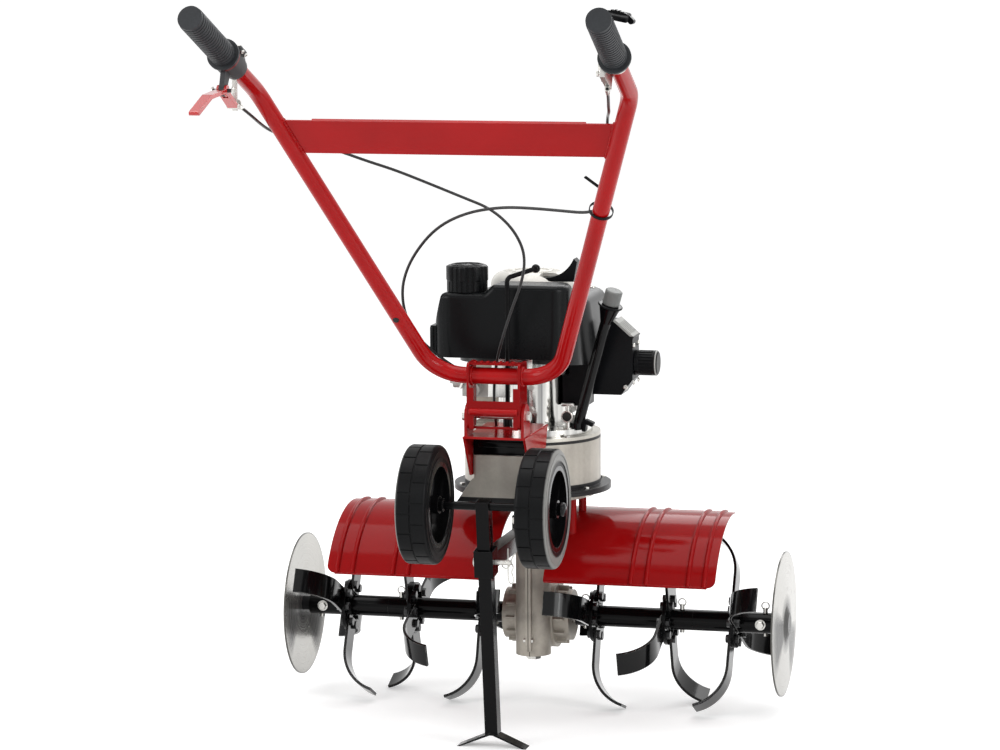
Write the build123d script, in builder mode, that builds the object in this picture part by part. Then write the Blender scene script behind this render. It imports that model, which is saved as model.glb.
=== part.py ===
from build123d import *
import os
from math import atan2, cos, degrees, hypot, pi, radians, sin, tan

os.makedirs("parts", exist_ok=True)

# Frame of the machine: ground at z = 0, +Y is the way it drives, +X is the operator's right.
# The origin lies on the ground under the middle of the overall length.
axle_y = 398.7
rotor_r = 160.0

# Clearances
slip = 0.1
running = 0.05
air = 0.5

# Fasteners, as multiples of the shank radius
bolt_across = 3.25
bolt_head = 1.3
bolt_nut = 1.6

# Tine rotor
tube_r = 18.5
output_shaft_r = 12.5
output_shaft_half = 150.0
inner_tube_start = 66.0
section_joint_x = 277.0
spigot_len = 42.0
star_x = (100.0, 231.0, 352.0)
star_deg = (-18.0, 20.0, -26.0)
flange_r = 46.0
flange_t = 6.0
blade_w = 42.0
blade_t = 5.0
blade_root_gap = 4.0
blade_bend_r = 75.0
blade_bend_deg = 75.0
blade_bolt_r = 4.0
blade_bolt_circle = 34.0
blade_bolt_spacing = 24.0
outer_tube_end = 424.0
disc_x = 435.0
disc_r = 127.0
disc_t = 3.0
disc_dish = 4.0
disc_hub_r = 18.0
disc_hub_bulge = 5.0
disc_stub_len = 50.0
pin_r = 4.0
pin_inset = 16.0
disc_pin_inset = 20.0
pin_reach = 9.0
clip_loop_r = 6.5
clip_wire_r = 1.2

# Worm gear
worm_starts = 2
wheel_teeth = 32
wheel_pitch_r = 40.0
worm_pitch_r = 15.0
wheel_half = 8.0
wheel_tip = 1.8
wheel_root = 3.2
tooth_tip_w = 1.6
tooth_root_w = 3.6
thread_tip = 2.2
thread_root = 3.0
thread_tip_w = 1.6
thread_root_w = 3.3
worm_half = 30.0
worm_shaft_r = 10.0
worm_journal_r = 6.0

# Gearbox
chamber_r = 47.0
chamber_half = 16.0
housing_r = 58.0
housing_half = 34.0
boss_r = 45.0
boss_half = 60.0
boss_rib_t = 4.0
boss_ribs = 12
boss_rib_h = 7.0
bearing_r = 26.0
bearing_t = 15.0
bearing_lip = 5.0
passage_gap = 1.5
column_r = 31.0
column_bore_r = 23.0
column_bottom = 98.0
worm_bearing_r = 16.0
worm_bearing_t = 12.0
top_bearing_r = 21.0
top_bearing_t = 14.0
top_bearing_z = 336.0
seam_t = 5.0
seam_lip = 11.0
seam_bolt_r = 2.5
plug_r = 7.0
plug_h = 10.0
neck_flange_r = 60.0
neck_flange_t = 12.0
pad_half = 26.0
pad_depth = 12.0
pad_half_h = 27.0

# Clutch case under the engine
floor_z = 386.0
floor_boss_r = 110.0
floor_boss_t = 10.0
floor_t = 6.0
case_r = 119.0
rim_lip = 18.0
case_wall = 8.0
case_rim_t = 4.0
case_top = 486.0
rim_bolt_r = 2.5
rim_bolts = 5
rim_bolt_start = -30.0
rim_bolt_sweep = 240.0
plate_screw_depth = 20.0
seal_t = 5.0
engine_plate_t = 6.0
engine_plate_hole_r = 50.0
block_half = 50.0
block_rear = 285.0
block_top = 486.0
block_wall = 6.0
shoulder_w = 30.0
shoulder_h = 44.0

# Clutch
clutch_travel = 2.5
cup_r = 72.0
cup_wall = 8.0
cup_base_t = 6.0
cup_hub_r = 26.0
cup_groove_r = 19.0
cup_groove_h = 9.0
cup_lip_t = 3.0
cup_h = 52.0
cone_h = 30.0
cone_deg = 12.0
cone_gap = 1.0
yoke_t = 4.0
yoke_reach = 92.0
yoke_prong_w = 11.0
yoke_pin_r = 4.0
yoke_boss_r = 6.4
yoke_tail_half = 9.0
lug_t = 6.0
link_r = 2.0

# Engine
flange_engine_r = 105.0
flange_engine_t = 12.0
barrel_r = 60.0
barrel_wall = 8.0
deck_z = 600.0
deck_r = 72.0
deck_t = 22.0
tank_seat_half = 30.0
tank_seat_back = 182.0
tank_seat_t = 10.0
crank_r = 12.5
crank_top = 725.0
flywheel_r = 58.0
flywheel_z = 655.0
flywheel_t = 24.0
fan_h = 22.0
fan_vanes = 12
vane_t = 3.0
engine_bolt_r = 4.0
engine_bolt_circle = 92.0
cylinder_z = 560.0
cylinder_r = 38.0
cylinder_len = 72.0
fin_half = 48.0
fin_t = 3.0
fin_pitch = 10.0
head_t = 22.0
muffler_x = (-142.0, -62.0)
muffler_back = 38.0
muffler_half_h = 44.0
muffler_pipe_r = 12.0
cowl_x = (-122.0, 124.0)
cowl_y = (-130.0, 85.0)
cowl_top = 738.0
cowl_wall = 3.0
cowl_corner_r = 50.0
cowl_draft_deg = 8.0
cowl_edge_r = 18.0
cover_r = 72.0
cover_h = 38.0
cover_edge_r = 24.0
cover_seat_h = 30.0
cover_notch_x = 26.0
cover_notch_h = 26.0
grip_fin_x = (28.0, 92.0)
grip_fin_h = 40.0
grip_fin_t = 6.0
grip_fin_back = 40.0
grip_fin_half = 13.0
tank_x = (-140.0, 96.0)
tank_y = (-212.0, -134.0)
tank_z = (641.0, 752.0)
tank_crown = 15.0
tank_crown_x = -33.0
tank_lean = 17.0
tank_lean_z = 693.0
tank_corner_r = 34.0
tank_edge_r = 10.0
tank_wall = 3.0
skirt_w = 7.0
skirt_h = 52.0
neck_x = -86.0
neck_r = 24.0
neck_h = 12.0
cap_r = 35.0
cap_h = 45.0
cap_ribs = 24
cap_rib_r = 1.6
oil_foot_x = 90.0
oil_foot_back = 100.0
oil_top_x = 158.0
oil_top_back = 140.0
oil_top_z = 730.0
oil_tube_r = 9.5
oil_bore_r = 7.5
oil_funnel_r = 20.0
oil_funnel_len = 34.0
dipstick_r = 3.0
dipstick_len = 120.0
dipstick_cap_r = 15.0
dipstick_cap_h = 27.0
filter_y = (-82.0, -28.0)
filter_x = (128.0, 184.0)
filter_z = (566.0, 694.0)
filter_low_cut = (20.0, 27.0)
filter_high_cut = (34.0, 30.0)
filter_cover_t = 4.0
duct_low = 545.0
duct_x = 104.0
filter_slots = 5
knob_r = 22.0
knob_len = 40.0
knob_z = 620.0
knob_stem_r = 5.0
carb_x = (-112.0, -66.0)
carb_y = (-112.0, -62.0)
carb_half_h = 22.0
carb_z = 582.0

# Main frame and handlebar bracket
frame_t = 4.0
frame_top = 525.0
frame_rear = 336.0
frame_front = 168.0
cable_hole = (-20.0, -234.0)
leg_foot = (290.0, 200.0)
leg_bottom = 452.0
leg_bolt_r = 3.0
leg_bolt_rise = 8.0
pivot_back = 312.0
pivot_z = 558.0
pivot_r = 5.0
ear_t = 5.0
ear_half = 22.0
cheek_t = 4.0
cheek_half = 46.0
cheek_half_depth = 26.0
bracket_low = 538.0
bracket_high = 650.0
bracket_bar = (560.0, 586.0)
bracket_band_w = 12.0
bracket_band_top = 608.0

# Handlebar
bar_r = 14.0
bar_wall = 2.0
bar_back = 314.0
bar_z = 626.0
bar_corner_x = 106.5
bar_corner_r = 75.0
elbow = (303.0, -659.0, 1120.0)
elbow_r = 80.0
grip_end = (316.0, -948.0, 1249.0)
grip_len = 156.0
grip_r = 20.5
grip_rib_h = 0.9
grip_ribs = 18
grip_cap_t = 5.0
grip_flange_r = 26.0
grip_flange_t = 5.0
crossbar_z = (1019.0, 1073.0)
crossbar_t = 3.0
crossbar_fold = 5.0
crossbar_fold_gap = 24.0

# Left control
clamp_len = 36.0
clamp_r = 23.0
collar_r = 19.0
collar_len = 20.0
lever_x = -310.0
lever_pivot = (-812.0, 1131.0)
lever_pin_r = 3.0
clamp_arm_t = 8.0
lever_w = 16.0
lever_t = 7.0
lever_bend = (-888.0, 1126.0)
lever_tip = (-951.0, 1105.0)
lever_heel = (-762.0, 1103.0)
lever_eye_r = 9.0
stop_back = 751.0
stop_t = 4.0
stop_half = 4.0
stop_z = (1096.0, 1150.0)

# Right control
throttle_ring_len = 24.0
throttle_ring_r = 17.0
throttle_plate_t = 4.0
throttle_plate_w = 29.0
throttle_plate_len = 54.0
throttle_ahead = 23.66724
throttle_below = 23.46748
throttle_pin_r = 3.0
throttle_lever_t = 3.0
throttle_lever_w = 14.0
throttle_lever_up = 90.0
throttle_lever_down = 26.0
throttle_tip_x = 331.0
throttle_tip_t = 9.0
throttle_tip_drop = 12.0

# Gear lever
gear_x = 2.0
gear_back = 245.0
gear_r = 4.0
gear_low = 492.0
gear_top = 784.0
gear_corner_r = 10.0
gear_handle = (50.0, 0.0, 17.0)
gear_ball_r = 7.5
gear_collar_r = 8.0
gear_collar_h = 30.0
selector_len = 54.0
selector_half = 7.0
selector_t = 5.0

# Hood
hood_r = 192.0
hood_t = 2.5
hood_inner_x = 44.0
hood_outer_x = 345.0
hood_front_deg = 12.0
hood_rear_deg = 61.5
hood_corner_r = 14.0
hood_beads = (198.0, 225.0, 298.0, 326.0)
hood_bead_r = 4.0
hood_post_x = 80.0
hood_post_r = 7.0
hood_post_y = (-95.0, -15.0)

# Depth bar, its holder and the transport wheels
depth_foot_back = 351.0
depth_lean_deg = 8.0
depth_bar_w = 22.0
depth_bar_d = 25.0
depth_bar_wall = 3.0
depth_bar_bottom = 22.0
depth_gap = 0.3
depth_hole_r = 4.5
depth_hole_pitch = 30.0
depth_holes = 3
depth_notch_r = 5.5
foot_half = 60.0
foot_depth = 30.0
foot_t = 4.0
foot_flat = 6.0
sleeve_wall = 5.0
sleeve_len = 46.0
sleeve_z = 324.0
holder_arm_half = 12.0
holder_arm_h = 28.0
holder_plate_t = 6.0
wheel_z = 420.0
wheel_axle_r = 7.0
wheel_inner_x = 75.0
wheel_w = 52.0
wheel_r = 100.0
tread_base_r = 98.5
tyre_bore_r = 72.0
tread_blocks = 18
tread_groove_w = 3.0
tyre_edge_r = 6.0
rim_wall = 8.0
hub_r = 15.0
spokes = 5
spoke_w = 11.0
spoke_t = 14.0
spoke_sweep_deg = 34.0
spoke_bow = 9.0
axle_cap_r = 11.0
axle_cap_t = 6.0

# Cables: the points that each one passes, with Y from the axle
cable_r = 2.5
clutch_route = [
    (-309, -750, 1107), (-304, -722, 1095), (-301, -690, 1082), (-301, -655, 1070), (-301, -622, 1060),
    (-296, -590, 1050), (-282, -560, 1041), (-252, -532, 1029), (-213, -510, 1016), (-172, -492, 999),
    (-130, -470, 983), (-78, -445, 959), (-26, -418, 934), (11, -396, 916), (39, -372, 886),
    (54, -350, 851), (55, -334, 820), (45, -320, 783), (28, -308, 746), (12, -297, 706),
    (-1, -287, 670), (-10, -279, 636), (-15, -272, 600), (-17, -263, 566), (-18, -248, 538),
    (-22, -226, 518), (-27, -206, 506), (-30, -193, 499), (-31, -184, 487),
]
throttle_route = [
    (292, -777, 1136), (287, -747, 1121), (280, -715, 1108), (274, -684, 1097), (267, -655, 1091),
    (260, -628, 1086), (254, -604, 1071), (249, -583, 1048), (246, -557, 1012), (240, -534, 978),
    (232, -517, 949), (222, -505, 930), (197, -494, 920), (150, -480, 922), (95, -465, 924),
    (41, -447, 923), (-25, -420, 910), (-84, -390, 881), (-131, -358, 832), (-157, -330, 786),
    (-165, -306, 746), (-161, -285, 710), (-146, -266, 678), (-124, -246, 652), (-104, -226, 632),
    (-92, -198, 617), (-90, -166, 610), (-90, -138, 606), (-91, -112, 603),
]

# Cable tie on the right arm
tie_z = 925.0
tie_w = 5.0
tie_t = 1.6
tie_rise = 26.0
tie_tail = 44.0
tie_tail_deg = 62.0

# Places worked out from the sizes above: the axle is as high as the lowest tine corner needs
corner_r = hypot(rotor_r, blade_w / 2)
corner_deg = degrees(atan2(blade_w / 2, rotor_r))
axle_z = max(corner_r * cos(radians(abs(turn) - corner_deg)) for turn in star_deg)
worm_y = axle_y - wheel_pitch_r - worm_pitch_r
blade_root_r = tube_r + blade_root_gap
bend_start_r = rotor_r - (blade_bend_r + blade_t / 2) * sin(radians(blade_bend_deg))
floor_top = floor_z + floor_boss_t + floor_t
plate_low = case_top + seal_t
engine_z = plate_low + engine_plate_t
column_top = floor_z - neck_flange_t
frame_half = block_half + frame_t
pivot_y = axle_y - pivot_back
ear_x = cheek_half + air
cowl_floor = deck_z + deck_t
rim_r = case_r + rim_lip


def save(piece, name):
    """Label one finished piece and write it to its own file."""
    piece.part.label = name
    export_step(piece.part, f"parts/{name}.step")


def bar_x(radius, x0, x1, y, z, mode=Mode.ADD):
    """A round bar along X."""
    with Locations(Location(((x0 + x1) / 2, y, z), (0, 90, 0))):
        Cylinder(radius, abs(x1 - x0), mode=mode)


def bar_y(radius, y0, y1, x, z, mode=Mode.ADD):
    """A round bar along Y."""
    with Locations(Location((x, (y0 + y1) / 2, z), (90, 0, 0))):
        Cylinder(radius, abs(y1 - y0), mode=mode)


def post_z(radius, z0, z1, x, y, mode=Mode.ADD):
    """A round post along Z."""
    with Locations((x, y, (z0 + z1) / 2)):
        Cylinder(radius, abs(z1 - z0), mode=mode)


def block(x, y, z, mode=Mode.ADD):
    """A box between two limits on each axis."""
    with Locations(((x[0] + x[1]) / 2, (y[0] + y[1]) / 2, (z[0] + z[1]) / 2)):
        Box(abs(x[1] - x[0]), abs(y[1] - y[0]), abs(z[1] - z[0]), mode=mode)


def behind(*offsets):
    """Y places given from the axle, in the machine's frame."""
    return tuple(axle_y + offset for offset in offsets)


def from_axle(point):
    """A point given with its Y from the axle, in the machine's frame."""
    return Vector(point[0], axle_y + point[1], point[2])


def hex_bolt(shank_r, grip, nut=True):
    """A bolt along Z, its head above z = 0 and its nut under the clamped thickness."""
    across_r = shank_r * bolt_across / 2
    with BuildPart() as bolt:
        with BuildSketch():
            RegularPolygon(across_r, 6, major_radius=False)
        extrude(amount=shank_r * bolt_head)
        Cylinder(shank_r, grip, align=(Align.CENTER, Align.CENTER, Align.MAX))
        if nut:
            with BuildSketch(Plane.XY.offset(-grip)):
                RegularPolygon(across_r, 6, major_radius=False)
            extrude(amount=-shank_r * bolt_nut)
    return bolt.part


def arc_radii(points, share=0.45):
    """Arc radius at each inner point of a cable route, as large as its shorter run allows."""
    radii = []
    for before, here, after in zip(points, points[1:], points[2:]):
        turn = radians((here - before).get_angle(after - here))
        shorter = min((here - before).length, (after - here).length)
        radii.append(share * shorter / tan(turn / 2))
    return radii


# Tines: a strip that stands along +Z on the +X side of its flange and bends towards +X
near_x = flange_t / 2
far_x = near_x + blade_t
bend_x = near_x + blade_t / 2 + blade_bend_r
with BuildPart() as tine_plus:
    with BuildSketch(Plane.XZ):
        with BuildLine():
            near = Line((near_x, blade_root_r), (near_x, bend_start_r))
            near_bend = CenterArc((bend_x, bend_start_r), bend_x - near_x, 180, -blade_bend_deg)
            far = Line((far_x, blade_root_r), (far_x, bend_start_r))
            far_bend = CenterArc((bend_x, bend_start_r), bend_x - far_x, 180, -blade_bend_deg)
            Line(near @ 0, far @ 0)
            Line(near_bend @ 1, far_bend @ 1)
        make_face()
    extrude(amount=blade_w / 2, both=True)
    for across in (-1, 1):
        hole_y = across * blade_bolt_spacing / 2
        bar_x(blade_bolt_r + slip, near_x, far_x, hole_y, blade_bolt_circle, Mode.SUBTRACT)

with BuildPart() as tine_minus:
    mirror(tine_plus.part, about=Plane.YZ)

# Each tine: its star's place on the axle, its angle about the axle and the way that it bends
tine_places = []
for side in (-1, 1):
    for star, x in enumerate(star_x):
        for quarter in range(4):
            angle = 90 * quarter + star_deg[star]
            outward = quarter % 2 == (1 if star == 2 else 0)
            tine_places.append((side * x, angle, side if outward else -side))

for side, name in ((-1, "tines_left"), (1, "tines_right")):
    with BuildPart() as tines:
        for x, angle, bend in tine_places:
            if x * side > 0:
                with Locations(Location((x, axle_y, axle_z), (angle, 0, 0))):
                    add(tine_plus.part if bend > 0 else tine_minus.part)
    save(tines, name)

# Bolts that hold the tines to their flanges
bolt_spots = []
for x, angle, bend in tine_places:
    star_place = Location((x, axle_y, axle_z), (angle, 0, 0))
    for across in (-1, 1):
        spot = (bend * far_x, across * blade_bolt_spacing / 2, blade_bolt_circle)
        bolt_spots.append(star_place * Location(spot, (0, 90 * bend, 0)))

tine_bolt = hex_bolt(blade_bolt_r, flange_t + blade_t)
with BuildPart() as tine_bolts:
    with Locations(bolt_spots):
        add(tine_bolt)
save(tine_bolts, "tine_bolts")

# Tine tubes, with a welded flange at each star and a spigot at the joint of inner and outer sections
pin_x = (inner_tube_start + pin_inset, section_joint_x - spigot_len / 2)
disc_pin_x = outer_tube_end - disc_pin_inset


def flange_holes(stars):
    """Bolt holes through the flanges of the given stars."""
    for x, angle, bend in tine_places:
        if abs(x) in stars:
            star_place = Location((x, axle_y, axle_z), (angle, 0, 0))
            for across in (-1, 1):
                hole = Location((0, across * blade_bolt_spacing / 2, blade_bolt_circle), (0, 90, 0))
                with Locations(star_place * hole):
                    Cylinder(blade_bolt_r + slip, flange_t, mode=Mode.SUBTRACT)


with BuildPart() as inner_tine_tubes:
    for side in (-1, 1):
        bar_x(tube_r, side * inner_tube_start, side * section_joint_x, axle_y, axle_z)
        for x in star_x[:2]:
            bar_x(flange_r, side * x - flange_t / 2, side * x + flange_t / 2, axle_y, axle_z)
        bore = output_shaft_r + slip
        bar_x(bore, side * inner_tube_start, side * section_joint_x, axle_y, axle_z, Mode.SUBTRACT)
        for x in pin_x:
            post_z(pin_r + slip, axle_z - tube_r, axle_z + tube_r, side * x, axle_y, Mode.SUBTRACT)
    flange_holes(star_x[:2])
save(inner_tine_tubes, "inner_tine_tubes")

with BuildPart() as outer_tine_tubes:
    for side in (-1, 1):
        bar_x(tube_r, side * section_joint_x, side * outer_tube_end, axle_y, axle_z)
        bar_x(output_shaft_r, side * (section_joint_x - spigot_len), side * section_joint_x, axle_y, axle_z)
        bar_x(flange_r, side * star_x[2] - flange_t / 2, side * star_x[2] + flange_t / 2, axle_y, axle_z)
        stub_end = side * (disc_x - disc_stub_len - slip)
        bar_x(output_shaft_r + slip, stub_end, side * outer_tube_end, axle_y, axle_z, Mode.SUBTRACT)
        for x in (pin_x[1], disc_pin_x):
            post_z(pin_r + slip, axle_z - tube_r, axle_z + tube_r, side * x, axle_y, Mode.SUBTRACT)
    flange_holes(star_x[2:])
save(outer_tine_tubes, "outer_tine_tubes")

# Pins through the tube joints, each with a sprung wire loop at its top
with BuildPart() as tine_pins:
    for x in (-disc_pin_x, -pin_x[1], -pin_x[0], pin_x[0], pin_x[1], disc_pin_x):
        pin_top = axle_z + tube_r + pin_reach
        post_z(pin_r, axle_z - tube_r - pin_reach / 2, pin_top, x, axle_y)
        with Locations(Location((x, axle_y, pin_top + clip_loop_r / 2), (90, 0, 0))):
            Torus(clip_loop_r, clip_wire_r)
save(tine_pins, "tine_pins")

with BuildPart() as output_shaft:
    bar_x(output_shaft_r, -output_shaft_half, output_shaft_half, axle_y, axle_z)
    for side in (-1, 1):
        post_z(pin_r + slip, axle_z - tube_r, axle_z + tube_r, side * pin_x[0], axle_y, Mode.SUBTRACT)
save(output_shaft, "output_shaft")

# Plant discs: dished steel discs on stubs in the ends of the outer tubes
rotor_plane = Plane(origin=(0, axle_y, axle_z), x_dir=(1, 0, 0), z_dir=(0, -1, 0))
axle_axis = Axis((0, axle_y, axle_z), (1, 0, 0))
shoulder_x = disc_x + disc_dish
shoulder_r = disc_hub_r + 3 * disc_hub_bulge
with BuildPart() as plant_disc_right:
    with BuildSketch(rotor_plane):
        with BuildLine():
            Polyline(
                (disc_x, disc_r),
                (disc_x + disc_t, disc_r),
                (shoulder_x + disc_t, shoulder_r),
                (shoulder_x + disc_t + disc_hub_bulge, disc_hub_r),
                (shoulder_x + disc_t + disc_hub_bulge, 0),
                (disc_x - disc_stub_len, 0),
                (disc_x - disc_stub_len, output_shaft_r),
                (shoulder_x, output_shaft_r),
                (shoulder_x, shoulder_r),
                close=True,
            )
        make_face()
    revolve(axis=axle_axis)
    post_z(pin_r + slip, axle_z - tube_r, axle_z + tube_r, disc_pin_x, axle_y, Mode.SUBTRACT)
save(plant_disc_right, "plant_disc_right")

with BuildPart() as plant_disc_left:
    mirror(plant_disc_right.part, about=Plane.YZ)
save(plant_disc_left, "plant_disc_left")

# Worm wheel: teeth slanted across the rim to follow the worm's thread
axial_pitch = 2 * pi * wheel_pitch_r / wheel_teeth
lead = worm_starts * axial_pitch
slant_deg = degrees(lead / (2 * pi * worm_pitch_r) * wheel_half / wheel_pitch_r)
with BuildPart() as wheel_tooth:
    for side in (-1, 1):
        with BuildSketch(Plane.YZ.offset(side * wheel_half)):
            with Locations(Location((0, 0, 0), (0, 0, side * slant_deg))):
                with BuildLine():
                    Polyline(
                        (-wheel_pitch_r + wheel_root + 1, -tooth_root_w / 2),
                        (-wheel_pitch_r - wheel_tip, -tooth_tip_w / 2),
                        (-wheel_pitch_r - wheel_tip, tooth_tip_w / 2),
                        (-wheel_pitch_r + wheel_root + 1, tooth_root_w / 2),
                        close=True,
                    )
                make_face()
    loft(ruled=True)

with BuildPart() as worm_wheel:
    bar_x(wheel_pitch_r - wheel_root, -wheel_half, wheel_half, axle_y, axle_z)
    bar_x(2 * output_shaft_r, -chamber_half + air, chamber_half - air, axle_y, axle_z)
    for tooth in range(wheel_teeth):
        with Locations(Location((0, axle_y, axle_z), (360 / wheel_teeth * tooth, 0, 0))):
            add(wheel_tooth.part)
    bar_x(output_shaft_r + slip, -chamber_half, chamber_half, axle_y, axle_z, Mode.SUBTRACT)
save(worm_wheel, "worm_wheel")

# Worm shaft: two thread starts on a core, in mesh with the wheel's rear side
thread_turns = int(2 * worm_half / lead)
thread_h = thread_turns * lead
with BuildPart() as thread:
    with BuildLine() as thread_path:
        Helix(lead, thread_h, worm_pitch_r)
    with BuildSketch(Plane(origin=thread_path.line @ 0, x_dir=(1, 0, 0), z_dir=thread_path.line % 0)):
        with BuildLine():
            Polyline(
                (-thread_root, -thread_root_w / 2),
                (thread_tip, -thread_tip_w / 2),
                (thread_tip, thread_tip_w / 2),
                (-thread_root, thread_root_w / 2),
                close=True,
            )
        make_face()
    sweep(path=thread_path.line, is_frenet=True)

yoke_z = floor_top + cup_lip_t + 2 * air + cup_groove_h / 2
groove_low = yoke_z - cup_groove_h / 2
groove_high = yoke_z + cup_groove_h / 2
cup_floor = groove_high + cup_base_t
cup_top = groove_low + cup_h
cone_low = cup_floor + 4 * cone_gap + clutch_travel
worm_shaft_top = cone_low - cone_gap
core_r = worm_pitch_r - thread_root + air
worm_low = column_bottom + plug_h
with BuildPart() as worm_shaft:
    post_z(core_r, axle_z - worm_half, axle_z + worm_half, 0, worm_y)
    for start in range(worm_starts):
        with Locations(Location((0, worm_y, axle_z - thread_h / 2), (0, 0, 360 / worm_starts * start))):
            add(thread.part)
    post_z(worm_shaft_r, worm_low + worm_bearing_t, worm_shaft_top, 0, worm_y)
    post_z(worm_journal_r, worm_low, worm_low + worm_bearing_t, 0, worm_y)
save(worm_shaft, "worm_shaft")

# Bearings: two on the output shaft and two on the worm shaft
bearing_in = boss_half - bearing_lip - bearing_t
with BuildPart() as gearbox_bearings:
    for side in (-1, 1):
        bar_x(bearing_r, side * bearing_in, side * (bearing_in + bearing_t), axle_y, axle_z)
    bar_x(output_shaft_r + running, -boss_half, boss_half, axle_y, axle_z, Mode.SUBTRACT)
    post_z(worm_bearing_r, worm_low, worm_low + worm_bearing_t, 0, worm_y)
    post_z(worm_journal_r + running, worm_low, worm_low + worm_bearing_t, 0, worm_y, Mode.SUBTRACT)
    post_z(top_bearing_r, top_bearing_z, top_bearing_z + top_bearing_t, 0, worm_y)
    post_z(worm_shaft_r + running, top_bearing_z, top_bearing_z + top_bearing_t, 0, worm_y, Mode.SUBTRACT)
save(gearbox_bearings, "gearbox_bearings")

# Gearbox: one casting outline, parted at the seam into two halves
seam_spots = [(housing_r + seam_lip / 2, turn) for turn in (-90, -35, 20, 75)]
seam_bolt_places = [
    (axle_y + reach * cos(radians(turn)), axle_z + reach * sin(radians(turn))) for reach, turn in seam_spots
]
seam_bolt_places.append((worm_y - column_r - seam_lip / 2, axle_z - column_r))
seam_bolt_places.append((worm_y + column_r + seam_lip / 2, column_top - column_r))
pad_y = worm_y - column_r - pad_depth
holder_z = sleeve_z
with BuildPart() as gearbox:
    bar_x(housing_r, -housing_half, housing_half, axle_y, axle_z)
    bar_x(boss_r, -boss_half, boss_half, axle_y, axle_z)
    bar_x(housing_r + seam_lip, -seam_t, seam_t, axle_y, axle_z)
    post_z(column_r, column_bottom, column_top, 0, worm_y)
    seam_y = (worm_y - column_r - seam_lip, worm_y + column_r + seam_lip)
    block((-seam_t, seam_t), seam_y, (column_bottom + seam_lip, column_top))
    post_z(neck_flange_r, column_top, floor_z, 0, worm_y)
    block((-pad_half, pad_half), (pad_y, worm_y), (holder_z - pad_half_h, holder_z + pad_half_h))
    rib_x = (housing_half + boss_half) / 2 - boss_rib_t
    rib_len = boss_half - housing_half - 2 * boss_rib_t
    for side in (-1, 1):
        for rib in range(boss_ribs):
            rib_place = Location((side * rib_x, axle_y, axle_z), (360 / boss_ribs * rib, 0, 0))
            with Locations(rib_place * Location((0, 0, boss_r))):
                Box(rib_len, boss_rib_t, 2 * boss_rib_h)
    bar_x(chamber_r, -chamber_half, chamber_half, axle_y, axle_z, Mode.SUBTRACT)
    bar_x(output_shaft_r + passage_gap, -boss_half, boss_half, axle_y, axle_z, Mode.SUBTRACT)
    for side in (-1, 1):
        bar_x(bearing_r, side * bearing_in, side * (bearing_in + bearing_t), axle_y, axle_z, Mode.SUBTRACT)
    post_z(column_bore_r, worm_low + worm_bearing_t, top_bearing_z, 0, worm_y, Mode.SUBTRACT)
    post_z(worm_bearing_r, worm_low, worm_low + worm_bearing_t, 0, worm_y, Mode.SUBTRACT)
    post_z(top_bearing_r, top_bearing_z, top_bearing_z + top_bearing_t, 0, worm_y, Mode.SUBTRACT)
    post_z(worm_shaft_r + passage_gap, top_bearing_z, floor_z, 0, worm_y, Mode.SUBTRACT)
    post_z(plug_r, column_bottom, worm_low, 0, worm_y, Mode.SUBTRACT)
    for y, z in seam_bolt_places:
        bar_x(seam_bolt_r + slip, -seam_t, seam_t, y, z, Mode.SUBTRACT)

for side, name in ((-1, "gearbox_half_left"), (1, "gearbox_half_right")):
    with BuildPart() as gearbox_half:
        add(gearbox.part)
        split(bisect_by=Plane.YZ, keep=Keep.TOP if side > 0 else Keep.BOTTOM)
    save(gearbox_half, name)

# Clutch case: floor, drum with a rear block, seal and the plate that carries the engine
lug_y = worm_y + yoke_reach
clutch_foot = from_axle(clutch_route[-1])
rim_bolt_circle = (case_r + rim_r) / 2
lug_x = cup_groove_r + 2 * air + yoke_prong_w + air
with BuildPart() as case_floor:
    post_z(floor_boss_r, floor_z, floor_z + floor_boss_t, 0, worm_y)
    post_z(rim_r, floor_z + floor_boss_t, floor_top, 0, worm_y)
    for side in (-1, 1):
        lug_height = (floor_top, yoke_z + 2 * yoke_pin_r)
        lug_width = (side * lug_x, side * (lug_x + lug_t))
        block(lug_width, (lug_y - 2 * yoke_pin_r, lug_y + 2 * yoke_pin_r), lug_height)
    bar_x(yoke_pin_r, -lug_x - lug_t, lug_x + lug_t, lug_y, yoke_z)
    with Locations((0, worm_y, floor_top)):
        with PolarLocations(rim_bolt_circle, rim_bolts, rim_bolt_start, rim_bolt_sweep, endpoint=True):
            Cylinder(rim_bolt_r + slip, 4 * floor_t, mode=Mode.SUBTRACT)
    post_z(worm_shaft_r + passage_gap, floor_z, floor_top, 0, worm_y, Mode.SUBTRACT)
save(case_floor, "case_floor")

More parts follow.
